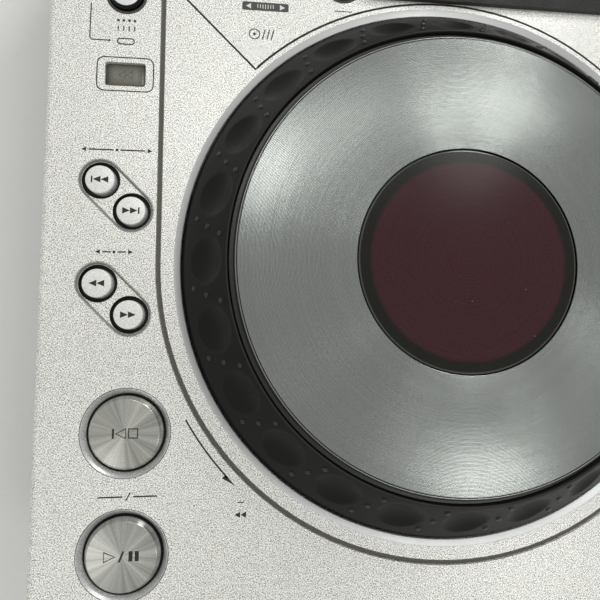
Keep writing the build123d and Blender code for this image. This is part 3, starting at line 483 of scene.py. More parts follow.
def build_metal_flake():
    """Single flakes in the lacquer: their brightness and the tilt they give the surface."""
    tree, given, result = effect_group(
        "metal_flake",
        [
            ("Colour", "Color", (0.6, 0.6, 0.58, 1)),
            ("Contrast", "Float", 1.0),
            ("Flakes per metre", "Float", 5000.0),
        ],
        [("Colour", "Color"), ("Roughness", "Float"), ("Height", "Float")],
    )
    place = place_on(tree)
    flake = cells(tree, place, given["Flakes per metre"])["Color"]
    lone = wire(tree, "SeparateColor", {0: flake})
    reach = 0.00035  # how far apart flakes lie that gather in pairs
    clumps = []
    for x, y in ((0, 0), (reach, 0), (0, reach), (-reach, 0), (0, -reach)):
        beside = vectors(tree, "ADD", place, (x, y, 0))
        clumps.append(noise(tree, beside, 2000.0, 0.0))
    around = times(tree, total(tree, *clumps[1:]), 0.25)
    pairs = times(tree, maths(tree, "SUBTRACT", clumps[0], around), 1.3)
    clouds = swing(tree, clumps[0], 0.6)
    tone = total(tree, pairs, clouds, maths(tree, "SUBTRACT", lone[0], 0.5))
    broad = swing(tree, noise(tree, place, 12.0, 2.0), 0.06)
    gain = total(tree, times(tree, tone, 0.93, given["Contrast"]), broad, 1.0)
    tinted = scaled(tree, given["Colour"], gain)
    rough = ramp(tree, lone[1], 0.0, 1.0, 0.36, 0.5)
    plug(tree, result, {"Colour": tinted, "Roughness": rough, "Height": tone})
    return tree


metal_flake = build_metal_flake()


def silver_lacquer(name, colour, contrast=1.0, rounding=0.00035, dust=0.05, metallic=0.35):
    """Silver paint over plastic, with the flakes, rounded edges and light handling wear."""
    material, tree, surface = new_material(
        name, Metallic=metallic, Coat_Weight=0.12, Coat_Roughness=0.25
    )
    paint = effect(tree, metal_flake, Colour=(*colour, 1), Contrast=contrast)
    edges = effect(tree, rubbed_edges, Width=rounding)
    lying = effect(tree, settled_dust, Amount=dust)["Mask"]
    bright = times(tree, edges["Mask"], 0.35)
    rubbed = blended(tree, bright, paint["Colour"], (0.8, 0.8, 0.78, 1))
    shade = blended(tree, lying, rubbed, (0.5, 0.48, 0.43, 1))
    bump = bumped(tree, paint["Height"], 0.000007, Strength=0.6, Normal=edges["Normal"])
    plug(tree, surface, {"Base Color": shade, "Roughness": paint["Roughness"], "Normal": bump})
    return material


JOG = (0.0, -34.0)  # middle of the wheel
PANEL = 74.0  # height of the flat top
SUNK, FLUSH = PANEL - 0.2, PANEL + 0.012  # foot and face of trim that is let into the lacquer
case_silver = silver_lacquer("case_silver", (0.815, 0.815, 0.78))
dress(case_silver, "top_case", "jog_deck", "display_deck")


def spot(centre, radius, degrees):
    """A point on a circle."""
    a = math.radians(degrees)
    return centre[0] + radius * math.cos(a), centre[1] + radius * math.sin(a)


def arc(centre, radius, angles):
    """Points on a circle, at angles in degrees."""
    return [spot(centre, radius, a) for a in angles]


def ribbon(path, width, low, high, closed=False):
    """A band of even width along a path, as a closed thin strip."""
    half, count = width / 2, len(path)
    points = []
    for i, (x, y) in enumerate(path):
        before = path[i - 1] if i or closed else path[0]
        after = path[(i + 1) % count] if i < count - 1 or closed else path[-1]
        dx, dy = after[0] - before[0], after[1] - before[1]
        size = math.hypot(dx, dy)
        nx, ny = -dy / size * half, dx / size * half
        points += [(x + nx, y + ny, low), (x + nx, y + ny, high)]
        points += [(x - nx, y - ny, high), (x - nx, y - ny, low)]
    faces = wrapped(count, 4, closed)
    if not closed:
        faces += [[3, 2, 1, 0], [4 * count - 4, 4 * count - 3, 4 * count - 2, 4 * count - 1]]
    return points, faces


# The olive-grey inlay on the floor of the U-shaped groove, and two dark lips along its edges that
# paint the shade of the groove's walls.
def u_path(radius):
    """A U round the front of the wheel, open to the rear."""
    left = [(-radius, 170.5 - 4 * i) for i in range(51)]
    bow = arc(JOG, radius, range(180, 361))
    return left + bow + [(-x, y) for x, y in reversed(left)]


groove_grey = finish("groove_grey", (0.105, 0.1, 0.08), 0.6, 1600.0, 0.0001, drift=0.1)
inlay = ribbon(u_path(110.62), 1.46, 73.01, 73.4)
piece("groove_inlay", inlay, groove_grey, "root")
lip_shade_olive = finish("lip_shade_olive", (0.04, 0.038, 0.03), 0.6, 1600.0, 0.00005, drift=0.1)
lip_shades = [ribbon(u_path(r), 0.17, SUNK, FLUSH) for r in (109.78, 111.52)]
piece("groove_edge_shade", joined(*lip_shades), lip_shade_olive, "root")

# A thin black ribbon lies in the joint of the two decks, level with the lacquer: painted shade of
# the gap between them.
inner, outer = 107.0 / math.sqrt(2) + 0.15, 109.6
joint_path = [(JOG[0] + x, JOG[1] - x) for x in (-outer, -inner)]
joint_path += arc(JOG, 107.15, range(134, 45, -1))
joint_path += [(JOG[0] + x, JOG[1] + x) for x in (inner, outer)]
painted_shade_black = finish("painted_shade_black", (0.012, 0.012, 0.012), 0.7, 1800.0, 0.00005)
joint_shade = ribbon(joint_path, 0.75, SUNK, FLUSH)
piece("deck_joint_shade", joint_shade, painted_shade_black, "root")


def turned_on_panel(corners, centre, steps):
    """A softened profile, with its heights counted from the panel, turned about centre."""
    return turned([(r, PANEL + h) for r, h in softened(corners)], centre, steps)


# The chamfer of the wheel's well is left bare of flakes: smooth satin paint over the same grey,
# painted darker and bluer here as a painted reflection of the darker surround the slope faces.
shaded_well_satin = finish(
    "shaded_well_satin", (0.67, 0.69, 0.69), 0.34, 900.0, 0.00001, drift=0.02, Metallic=0.55
)
chamfer_corners = [(103.02, -1.4), (104.98, -0.03), (104.98, 0.01), (102.98, -1.35)]
chamfer = turned_on_panel(chamfer_corners, JOG, 360)
piece("well_edge", chamfer, shaded_well_satin, "root")


# ---------------------------------------------------------------- inside the jog wheel
# The carrier and its post, the wheel's hub, the slotted encoder ring with its light gate, the
# pressure switch ring and the small round display on top of the post.
dress(glass_filled_black, "jog_carrier", "jog_hub", "encoder_sensor")
dress(zinc_sheet, "encoder_ring")
switch_film = finish("switch_film", (0.02, 0.02, 0.02), 0.35, 1200.0, 0.00005, drift=0.1)
dress(switch_film, "touch_switch_ring")
display_glass = finish("display_glass", (0.02, 0.028, 0.03), 0.12, 700.0, 0.00002, Coat_Weight=0.6)
dress(display_glass, "jog_display")


# ---------------------------------------------------------------- grip ring
# The wheel's moulded rubber tyre: a 45 degree face with two dozen round thumb dimples, three
# small domed studs between each two, and a thin lip beside the plate. Matt, polished by hands.
DIMPLES = 24


def grip_ring_shape():
    """The whole tyre as one closed revolved grid, with the dimples pressed into its face."""
    spokes, rows, pitch = 960, 60, 2 * math.pi / DIMPLES
    skirt = [(99.3, -8.0), (102.0, -8.0), (102.3, -7.7), (102.3, -2.2), (102.25, -1.5)]
    skirt += [(102.0, -0.9), (101.7, -0.4)]
    foot, crest = (101.35, 0.15), (85.3, 16.2)  # of the sloped face
    lip = [(85.1, 16.34), (84.9, 16.4), (84.7, 16.34), (84.54, 16.15), (84.5, 15.6)]
    under = [(84.5, 6.0), (88.5, 6.0), (99.3, -4.5)]
    points = []
    for k in range(spokes):
        angle = 2 * math.pi * k / spokes
        from_dimple = (angle - math.radians(0.1) + pitch / 2) % pitch - pitch / 2
        face = []
        for i in range(rows + 1):
            t = i / rows
            r = foot[0] + (crest[0] - foot[0]) * t
            h = foot[1] + (crest[1] - foot[1]) * t
            up, side = (92.55 - r) * math.sqrt(2), r * from_dimple
            inside = 1 - (up / 8.4) ** 2 - (side / 8.3) ** 2
            sink = -1.9 * (inside + math.sqrt(inside * inside + 0.0004)) / 2
            face.append((r + sink / math.sqrt(2), h + sink / math.sqrt(2)))
        section = skirt + face + lip + under
        c, s = math.cos(angle), math.sin(angle)
        points += [(JOG[0] + r * c, JOG[1] + r * s, PANEL + h) for r, h in section]
    return points, wrapped(spokes, len(section), closed=True)


def grip_stud(radius, degrees):
    """A low round stud that stands square on the tyre's face."""
    dome, top, steps = [(1.0, -0.15), (1.0, 0.12), (0.86, 0.34), (0.5, 0.47)], 0.5, 24
    angle, lean = math.radians(degrees), math.sqrt(0.5)
    c, s = math.cos(angle), math.sin(angle)
    middle = Vector((JOG[0] + radius * c, JOG[1] + radius * s, PANEL + 101.5 - radius))
    out, down, along = Vector((c, s, 1)) * lean, Vector((c, s, -1)) * lean, Vector((-s, c, 0))
    points = []
    for r, h in dome:
        round_dome = arc((0, 0), r, [360 * k / steps for k in range(steps)])
        points += [tuple(middle + out * h + down * u + along * v) for u, v in round_dome]
    last = len(points)
    points.append(tuple(middle + out * top))
    faces = wrapped(len(dome), steps) + [list(range(steps))]
    faces += [[last - steps + k, last, last - steps + (k + 1) % steps] for k in range(steps)]
    return points, faces


def build_grip_rubber():
    """Black rubber: matt grain, crests greyer from thumbs and painted highlight, a dull skirt in
    painted shade.
    """
    material, tree, surface = new_material("grip_rubber", Specular_IOR_Level=0.16)
    look = effect(
        tree,
        surface_grain,
        Colour=(0.0092, 0.0094, 0.0086, 1),
        Drift=0.2,
        Roughness=0.42,
        Roughness_drift=0.05,
        Grains_per_metre=2200.0,
    )
    crest = wire(tree, "NewGeometry")["Pointiness"]
    # The greyer crests are partly thumb wear and partly a painted highlight on the rims of the
    # dimples.
    worn = ramp(tree, crest, 0.505, 0.56, high=0.6)
    thumbed_and_highlit = blended(tree, worn, look["Colour"], (0.05, 0.05, 0.047, 1))
    height = wire(tree, "SeparateXYZ", {0: place_on(tree)})["Z"]
    # Below the deck the skirt is painted near black: painted shade in the narrow well round the
    # tyre.
    skirt = ramp(tree, height, 0.0746, 0.0738)
    shade = blended(tree, skirt, thumbed_and_highlit, (0.0015, 0.0015, 0.0015, 1))
    rough = total(tree, look["Roughness"], times(tree, skirt, 0.5))
    bump = bumped(tree, look["Height"], 0.0001, Strength=0.6)
    plug(tree, surface, {"Base Color": shade, "Roughness": rough, "Normal": bump})
    return material


grip_rubber = build_grip_rubber()
tyre = grip_ring_shape()
piece("grip_ring", tyre, grip_rubber, "jog_wheel", ["jog_ring"], sharp=45)
studs = []
for k in range(DIMPLES):
    for radius, degrees in ((97.5, 5.75), (92.8, 7.6), (87.85, 9.45)):
        studs.append(grip_stud(radius, 360 / DIMPLES * k + degrees))
stud_rubber = finish("stud_rubber", (0.014, 0.014, 0.013), 0.22, 1500.0, 0.00002, drift=0.1)
piece("grip_studs", joined(*studs), stud_rubber, "jog_wheel", sharp=45)


# ---------------------------------------------------------------- touch plate
# A turned aluminium disc with fine tool rings from a facing cut, a V-groove near its rim and a
# seat for the window. The rings stretch reflections into soft radial fans.
def from_axis(tree, centre):
    """The level way from an upright axis, and its length."""
    flat = vectors(tree, "MULTIPLY", vectors(tree, "SUBTRACT", place_on(tree), centre), (1, 1, 0))
    return flat, wire(tree, "VectorMath", {0: flat}, operation="LENGTH")["Value"]


def ring_noise(tree, radius, scale, detail):
    """Noise that changes with radius only."""
    inputs = {"W": radius, "Scale": scale, "Detail": detail}
    return wire(tree, "TexNoise", inputs, noise_dimensions="1D")[0]


def build_tool_rings():
    """Tool marks round an upright axis, which change with radius and faintly with angle, and
    painted highlight fans by angle.
    """
    tree, given, result = effect_group(
        "tool_rings",
        [("Centre", "Vector", (0.0, 0.0, 0.0)), ("Rings per metre", "Float", 3000.0)],
        [("Tone", "Float"), ("Height", "Float"), ("Painted fan", "Float"), ("Groove", "Float")],
    )
    flat, radius = from_axis(tree, given["Centre"])
    across = times(tree, radius, given["Rings per metre"])
    fine = ring_noise(tree, across, 1.0, 2.0)
    bands = ring_noise(tree, radius, 160.0, 3.0)
    near = scaled(tree, flat, given["Rings per metre"])
    upward = wire(tree, "CombineXYZ", {2: across})[0]
    lifted = vectors(tree, "ADD", vectors(tree, "MULTIPLY", near, (0.45, 0.45, 0)), upward)
    dashes = noise(tree, lifted, 1.0, 1.0)
    broken = total(tree, times(tree, fine, 0.5), times(tree, dashes, 0.5))
    tone = total(tree, times(tree, broken, 0.8), times(tree, bands, 0.2))
    wave = maths(tree, "COSINE", times(tree, across, 2 * math.pi))
    hump = maths(tree, "POWER", maths(tree, "MAXIMUM", wave, 0.0), 2.0)
    sides = wire(tree, "SeparateXYZ", {0: flat})
    angle = maths(tree, "ARCTAN2", sides["Y"], sides["X"])
    bearing = {0: maths(tree, "COSINE", angle), 1: maths(tree, "SINE", angle)}
    painted_fans = noise(tree, wire(tree, "CombineXYZ", bearing)[0], 5.0, 4.0, 0.65)
    plug(tree, result, {"Tone": tone, "Height": broken, "Painted fan": painted_fans, "Groove": hump})
    return tree


tool_rings = build_tool_rings()


def turned_metal(
    name, colour, roughness, centre, rings, depth, anisotropy, tone, painted_fan=0.0, groove=0.0
):
    """Bare metal turned about an upright axis through centre, with painted highlight fans and
    painted shade in the tool grooves.
    """
    material, tree, surface = new_material(
        name, Metallic=1.0, Anisotropic=anisotropy, Anisotropic_Rotation=0.25
    )
    middle = (centre[0] / 1000, centre[1] / 1000, 0)
    marks = effect(tree, tool_rings, Rings_per_metre=rings, Centre=middle)
    level = swing(tree, marks["Tone"], tone * 4)
    # Painted highlight fans: brighter and darker sectors by angle.
    painted_fans = swing(tree, marks["Painted fan"], painted_fan * 4)
    # The tool grooves are painted darker: painted shade in their hollows.
    painted_groove_shade = times(tree, marks["Groove"], 0.5 if groove else 0.0)
    ground = maths(tree, "SUBTRACT", 1.12 if groove else 1.0, painted_groove_shade)
    shade = scaled(tree, colour, total(tree, level, painted_fans, ground))
    smudge = noise(tree, place_on(tree), 40.0, 4.0)
    rough = ramp(tree, smudge, 0.0, 1.0, roughness - 0.05, roughness + 0.06)
    height = total(tree, marks["Height"], times(tree, marks["Groove"], groove))
    bump = bumped(tree, height, depth)
    spin = wire(tree, "Tangent", direction_type="RADIAL", axis="Z")[0]
    plug(tree, surface, {"Base Color": shade, "Roughness": rough, "Normal": bump, "Tangent": spin})
    return material


FACE, UNDER = 17.15, 15.65  # faces of the plate above the panel
plate_corners = [(40.3, FACE, 0.12), (81.15, FACE, 0.04), (81.2, FACE - 0.3), (81.5, FACE - 0.3)]
plate_corners += [(81.55, FACE, 0.04), (81.95, FACE, 0.12), (82.0, FACE - 0.3), (82.0, UNDER)]
plate_corners += [(80.4, UNDER), (80.4, 10.0), (78.8, 10.0), (78.8, UNDER), (46.0, UNDER)]
plate_corners += [(46.0, 12.6), (38.6, 12.6), (38.6, 13.9), (40.3, 13.9)]
# The plate's tool grooves carry painted shade.
plate_metal = turned_metal(
    "plate_metal", (0.293, 0.31, 0.301), 0.23, JOG, 2299.0, 0.00001, 0.35, tone=0.16, groove=4.0
)
plate = turned_on_panel(plate_corners, JOG, 720)
piece("touch_plate", plate, plate_metal, "jog_top", ["jog_plate"], sharp=25)

# The plate is clipped into a black moulded rim. A thin black ring on the floor of the plate's
# V-groove paints the groove's shade as a dark line.
rim_corners = [(82.02, UNDER), (82.02, 16.78), (82.2, 16.85, 0.1), (82.45, 16.8, 0.1)]
rim_corners += [(82.55, 16.5, 0.05), (82.55, UNDER)]
groove_shade_corners = [(81.21, 16.86), (81.49, 16.86), (81.49, 16.9), (81.21, 16.9)]
rim_black_and_shade = finish(
    "rim_black_and_shade", (0.005, 0.005, 0.005), 0.45, 1500.0, 0.00005, Specular_IOR_Level=0.3
)
rim = joined(*(turned_on_panel(corners, JOG, 360) for corners in (rim_corners, groove_shade_corners)))
piece("plate_rim_and_groove_shade", rim, rim_black_and_shade, "jog_top", sharp=40)


# ---------------------------------------------------------------- middle window
# A smoked acrylic disc set flush in the plate. The round display shows through it as a maroon
# disc with faint rings, inside a dark olive border, under a hard glossy face.
def build_smoked_acrylic():
    """Maroon inside, dark olive outside, a painted highlight on the bevel, a black rim, faint rings
    and dust under a gloss coat.
    """
    material, tree, surface = new_material("smoked_acrylic", Specular_IOR_Level=0.25)
    place = place_on(tree)
    middle = (JOG[0] / 1000, JOG[1] / 1000, 0.0)
    flat, radius = from_axis(tree, middle)
    marks = effect(tree, tool_rings, Rings_per_metre=760.0, Centre=middle)
    ringed = ramp(tree, marks["Height"], 0.4, 0.7, high=0.3)
    rippled = times(tree, marks["Groove"], ramp(tree, radius, 0.02, 0.008, high=0.4))
    lit = total(tree, ringed, rippled)
    shade = blended(tree, lit, (0.04, 0.0118, 0.0158, 1), (0.06, 0.016, 0.022, 1))
    border = ramp(tree, radius, 0.0346, 0.0362, interpolation_type="SMOOTHSTEP")
    shade = blended(tree, border, shade, (0.0085, 0.0092, 0.0068, 1))
    bevel_highlight = ramp(tree, radius, 0.0391, 0.0394)
    shade = blended(tree, bevel_highlight, shade, (0.075, 0.077, 0.072, 1))
    edge = ramp(tree, radius, 0.0397, 0.03985)
    shade = blended(tree, edge, shade, (0.004, 0.004, 0.004, 1))
    speck = ramp(tree, cells(tree, place, 150.0)["Distance"], 0.035, 0.02, high=0.5)
    shade = blended(tree, speck, shade, (0.4, 0.38, 0.36, 1))
    mottled = ramp(tree, noise(tree, place, 2000.0, 1.0), 0.25, 0.75, 0.7, 1.3)
    rough = ramp(tree, noise(tree, place, 55.0, 5.0, 0.7), 0.0, 1.0, 0.15, 0.27)
    plug(tree, surface, {"Base Color": scaled(tree, shade, mottled), "Roughness": rough})
    return material


window_corners = [(0, 16.97), (39.2, 16.97, 0.1), (39.7, 16.8, 0.05), (39.85, 16.2), (40.2, 16.2)]
window_corners += [(40.2, 14.0), (0, 14.0)]
window = turned_on_panel(window_corners, JOG, 360)
smoked_acrylic = build_smoked_acrylic()
piece("middle_window", window, smoked_acrylic, "jog_top", ["jog_window"])


# ---------------------------------------------------------------- transport keys
# Two large round keys: caps of spun stainless steel with a bevelled edge, black icons printed
# on the face, each in a silver conical ring that is let into the case.
PLAY, CUE = (-120.65, -137.2), (-120.65, -95.1)
ring_corners = [(13.9, -3.5), (15.7, -3.5), (15.7, -0.05, 0.1), (15.5, 0.0, 0.12)]
ring_corners += [(14.0, -1.7, 0.1), (13.9, -1.9)]
# The rings are the case's silver paint, painted darker as the shade of their inward slope.
shaded_ring_silver = silver_lacquer(
    "shaded_ring_silver", (0.66, 0.66, 0.665), contrast=0.4, rounding=0.0001, dust=0.02, metallic=0.85
)
rings = joined(*(turned_on_panel(ring_corners, key, 240) for key in (PLAY, CUE)))
piece("transport_rings", rings, shaded_ring_silver, "root", ["transport_bezels"], sharp=25)
# Thin black linings in the rings' bores, which paint the shade in the gap round the caps.
bore_shade_corners = [(13.2, -3.35), (13.89, -3.35), (13.89, -1.95), (13.82, -2.0)]
bore_shade_corners += [(13.82, -3.1, 0.05), (13.2, -3.1)]
bore_shades = joined(*(turned_on_panel(bore_shade_corners, key, 200) for key in (PLAY, CUE)))
piece("transport_bore_shade", bore_shades, painted_shade_black, "root", sharp=40)

cap_corners = [(0, 0.52), (11.95, 0.52, 0.15), (13.02, -1.1, 0.2), (13.1, -1.5, 0.1)]
cap_corners += [(13.1, -3.4), (0, -3.4)]
# The play cap's steel is painted darker than the cue cap's, as painted shade: both caps are one
# steel.
for label, key, colour in (
    ("play", PLAY, (0.46, 0.46, 0.435)),
    ("cue", CUE, (0.54, 0.54, 0.505)),
):
    # Both caps carry painted highlight fans by angle.
    steel = turned_metal(
        f"{label}_steel", colour, 0.23, key, 2600.0, 0.000012, 0.85, tone=0.08, painted_fan=0.42
    )
    cap = turned_on_panel(cap_corners, key, 240)
    piece(f"{label}_cap", cap, steel, f"{label}_key", [f"{label}_button"], sharp=25)


def placed(outline, centre):
    """An outline moved to a place."""
    return [(centre[0] + x, centre[1] + y) for x, y in outline]


def box(x0, y0, x1, y1):
    """The outline of a rectangle."""
    return [(x0, y0), (x1, y0), (x1, y1), (x0, y1)]


ink = finish("ink", (0.014, 0.014, 0.013), 0.55, 1800.0, 0.00002, drift=0.1)
CAP_PRINT = PANEL + 0.521, PANEL + 0.545  # foot and face of the ink on a cap
play_arrow = [(-6.0, -1.6), (-6.0, 1.75), (-2.3, 0.05)]
slash = [(-1.2, -1.75), (-0.45, -1.75), (0.95, 1.85), (0.2, 1.85)]
play_mark = joined(
    ribbon(placed(play_arrow, PLAY), 0.55, *CAP_PRINT, closed=True),
    prism(placed(slash, PLAY), *CAP_PRINT),
    *(prism(placed(box(x, -1.6, x + 1.35, 1.8), PLAY), *CAP_PRINT) for x in (2.4, 4.5)),
)
piece("play_mark", play_mark, ink, "play_key")
cue_outlines = [[(-3.1, 0.0), (0.3, -1.7), (0.3, 1.7)], box(1.3, -1.6, 4.4, 1.6)]
cue_mark = joined(
    prism(placed(box(-4.4, -1.7, -3.7, 1.7), CUE), *CAP_PRINT),
    *(ribbon(placed(shape, CUE), 0.52, *CAP_PRINT, closed=True) for shape in cue_outlines),
)
piece("cue_mark", cue_mark, ink, "cue_key")


# ---------------------------------------------------------------- search keys
# Two pairs of small round keys in silver lacquer, each pair in a sunk stadium with a sloped wall.
# The caps have a rounded edge and printed double arrows, two of them with a bar.
dress(case_silver, "key_plates")
PAIR_X, PAIRS_Y = -126.25, (-9.3, -47.4)  # middles of the two pairs
APART = 16.0 / 2 / math.sqrt(2)  # of a key from its pair's middle, along x and y
SEARCH_KEYS = {
    "track_back": (PAIR_X - APART, PAIRS_Y[0] + APART, -1),
    "track_next": (PAIR_X + APART, PAIRS_Y[0] - APART, 1),
    "search_back": (PAIR_X - APART, PAIRS_Y[1] + APART, -1),
    "search_forward": (PAIR_X + APART, PAIRS_Y[1] - APART, 1),
}


def stadium(y, radius):
    """The outline of a pair's plate, at a distance from the line through its two keys."""
    outline = []
    for side, start in ((1, -135), (-1, 45)):
        middle = (PAIR_X + side * APART, y - side * APART)
        outline += arc(middle, radius, [start + 180 * i / 32 for i in range(33)])
    return outline


def stadium_wall(y):
    """A thin skin over the sloped wall of a sunk plate, painted dark grey as the wall's shade."""
    rings = ((7.68, -0.02), (7.04, -0.67), (7.02, -0.65), (7.66, 0.0))
    points = [(px, py, PANEL + h) for r, h in rings for px, py in stadium(y, r)]
    return points, wrapped(4, len(points) // 4, closed=True)


wall_shade_grey = finish("wall_shade_grey", (0.2, 0.2, 0.188), 0.45, 2600.0, 0.00002, drift=0.1)
wall_shades = joined(*(stadium_wall(y) for y in PAIRS_Y))
piece("pair_wall_shade", wall_shades, wall_shade_grey, "root", sharp=25)
# Thin black linings in the plates' holes, which paint the shade in the gap round the caps.
hole_shade_corners = [(5.45, -3.15), (6.89, -3.15), (6.89, -0.72), (6.75, -0.8, 0.05)]
hole_shade_corners += [(6.75, -3.0, 0.1), (5.45, -3.0)]
hole_shades = joined(*(turned_on_panel(hole_shade_corners, (x, y), 120) for x, y, way in SEARCH_KEYS.values()))
piece("search_hole_shade", hole_shades, painted_shade_black, "root", sharp=40)

search_silver = silver_lacquer(
    "search_silver", (0.85, 0.85, 0.83), contrast=0.3, rounding=0.0002, dust=0.01
)
search_corners = [(0, 0.8), (5.1, 0.8, 0.2), (5.28, 0.1, 0.2), (5.35, -1.2, 0.2)]
search_corners += [(5.35, -3.4), (0, -3.4)]
for label, (x, y, way) in SEARCH_KEYS.items():
    body, replaced = f"{label}_key", [f"{label}_button"]
    cap = turned_on_panel(search_corners, (x, y), 160)
    piece(f"{label}_cap", cap, search_silver, body, replaced, sharp=50)
    barred = label.startswith("track")
    first = -3.05 if barred else -2.75
    arrows = (first, first + 2.75)
    outlines = [[(start, -1.2), (start + 2.75, 0.0), (start, 1.2)] for start in arrows]
    if barred:
        outlines.append(box(2.55, -1.2, 3.1, 1.2))
    mark = []
    for outline in outlines:
        mirrored = [(x + way * u, y + v) for u, v in outline][::way]
        mark.append(prism(mirrored, PANEL + 0.801, PANEL + 0.82))
    piece(f"{label}_arrows", joined(*mark), ink, body)


# ---------------------------------------------------------------- reverse key
# A translucent smoke-brown bar key: a shallow barrel-shaped cap, with painted shade on its sides
# and a painted highlight along its middle, and a faint mark moulded under the face.
REVERSE = (-124.15, 36.95)


def reverse_cap_shape():
    """A rounded bar whose face bulges a little from front to rear."""
    across, deep, half_x, half_y, corner = 36, 24, 7.1, 4.25, 0.95
    cx, cy = half_x - corner, half_y - corner
    grid, points, faces = {}, [], []
    for i in range(across + 1):
        for j in range(deep + 1):
            u = math.sin((2 * i / across - 1) * math.pi / 2)
            v = math.sin((2 * j / deep - 1) * math.pi / 2)
            x, y = u * half_x, v * half_y
            dx, dy = abs(x) - cx, abs(y) - cy
            if dx > 0 and dy > 0:
                pull = max(dx, dy) / math.hypot(dx, dy)
                x = math.copysign(cx + dx * pull, x)
                y = math.copysign(cy + dy * pull, y)
            rim = max(abs(u), abs(v))
            fall = 0.35 * max(0.0, (rim - 0.86) / 0.14) ** 2
            grid[i, j] = len(points)
            points.append((REVERSE[0] + x, REVERSE[1] + y, PANEL - 0.7 - 0.22 * v * v - fall))
    for i in range(across):
        for j in range(deep):
            faces.append([grid[i, j], grid[i + 1, j], grid[i + 1, j + 1], grid[i, j + 1]])
    loop = [grid[i, 0] for i in range(across)] + [grid[across, j] for j in range(deep)]
    loop += [grid[i, deep] for i in range(across, 0, -1)] + [grid[0, j] for j in range(deep, 0, -1)]
    base, size = len(points), len(loop)
    points += [(*points[i][:2], PANEL - 3.4) for i in loop]
    for k in range(size):
        beside = (k + 1) % size
        faces.append([loop[k], base + k, base + beside, loop[beside]])
    faces.append([base + k for k in range(size)])
    return points, faces


def build_smoke_plastic():
    """Tinted plastic, warm in front: painted shade at its ends and edges, a painted highlight in
    the middle.
    """
    material, tree, surface = new_material("smoke_plastic", Coat_Weight=0.5, Coat_Roughness=0.12)
    place = place_on(tree)
    middle = (REVERSE[0] / 1000, REVERSE[1] / 1000, 0)
    off = wire(tree, "SeparateXYZ", {0: vectors(tree, "SUBTRACT", place, middle)})
    # The sides and ends are painted darker as shade, the middle light as a painted highlight.
    sides = ramp(tree, maths(tree, "ABSOLUTE", off["Y"]), 0.0008, 0.0044)
    end_shade = ramp(tree, maths(tree, "ABSOLUTE", off["X"]), 0.0042, 0.0069)
    front = ramp(tree, off["Y"], -0.0025, -0.0042, high=0.6)
    shade = blended(tree, sides, (0.165, 0.16, 0.132, 1), (0.07, 0.068, 0.05, 1))
    shade = blended(tree, end_shade, shade, (0.034, 0.033, 0.026, 1))
    shade = blended(tree, front, shade, (0.1, 0.075, 0.05, 1))
    grain = noise(tree, place, 1500.0, 2.0)
    mottled = scaled(tree, shade, ramp(tree, grain, 0.0, 1.0, 0.88, 1.12))
    rough = ramp(tree, grain, 0.0, 1.0, 0.2, 0.34)
    plug(tree, surface, {"Base Color": mottled, "Roughness": rough})
    return material


def rounded_box(centre, size, corner):
    """The outline of a rectangle with rounded corners."""
    outline = []
    for sx, sy, start in ((1, 1, 0), (-1, 1, 90), (-1, -1, 180), (1, -1, 270)):
        x = centre[0] + sx * (size[0] / 2 - corner)
        y = centre[1] + sy * (size[1] / 2 - corner)
        outline += arc((x, y), corner, range(start, start + 91, 15))
    return outline


# The frame round the key is moulded with the case colour; only its seam tells it apart, drawn as a
# thin black ribbon of painted shade in the joint.
seam_shade = ribbon(rounded_box(REVERSE, (20.5, 13.0), 2.6), 0.42, SUNK, FLUSH, closed=True)
piece("reverse_seam_shade", seam_shade, painted_shade_black, "root")
reverse_body, reverse_slot = "reverse_key", "key_grey"
smoke_plastic = build_smoke_plastic()
cap = reverse_cap_shape()
piece("reverse_cap", cap, smoke_plastic, reverse_body, ["reverse_button"])
faint_ink = finish("faint_ink", (0.035, 0.033, 0.026), 0.4, 1800.0, 0.00002, drift=0.1)
left_arrow = [(-2.2, 0.15), (0.0, -1.25), (0.0, 1.55)]
faint_arrows = []
for shift in (-0.3, 2.3):
    outline = placed(left_arrow, (REVERSE[0] + shift, REVERSE[1]))
    faint_arrows.append(ribbon(outline, 0.3, PANEL - 0.75, PANEL - 0.68, closed=True))
piece("reverse_mark", joined(*faint_arrows), faint_ink, reverse_body)


# ---------------------------------------------------------------- round lit keys
# Gloss black caps with a soft edge in dark grey rings. The two loop keys carry a milky lens that
# lights up, the others a small lamp, and one grey cap stands by the hood.
ring_grey = finish(
    "ring_grey", (0.055, 0.055, 0.05), 0.42, 1500.0, 0.0001, worn=(0.2, 0.2, 0.19), width=0.0002
)
cap_gloss = finish(
    "cap_gloss", (0.006, 0.006, 0.006), 0.16, 900.0, 0.00002, drift=0.1, Specular_IOR_Level=0.22
)
cap_grey = finish("cap_grey", (0.2, 0.2, 0.185), 0.3, 1500.0, 0.00005)
ROUND_KEYS = {  # x, y, radius, radius of the lens and its colour
    "beat_loop": (-124.4, 68.2, 7.5, 5.2, (0.93, 0.94, 0.93)),
    "memory": (-131.0, 108.0, 6.8, 1.6, (0.35, 0.33, 0.3)),
    "loop_in": (-92.0, 97.0, 7.75, 3.4, (0.62, 0.3, 0.1)),
    "loop_out": (-72.0, 78.7, 7.75, 3.4, (0.62, 0.3, 0.1)),
    "reloop": (-41.4, 78.7, 7.75, 3.4, (0.3, 0.3, 0.28)),
    "master_tempo": (131.0, -8.0, 7.75, 3.4, (0.5, 0.1, 0.08)),
    "tempo_range": (131.0, 16.0, 7.75, 3.4, (0.16, 0.4, 0.14)),
    "jog_mode": (131.0, 40.0, 7.75, 3.4, (0.12, 0.3, 0.5)),
    "eject": (131.0, 140.0, 8.2, 1.6, (0.45, 0.4, 0.12)),
}
bezels = []
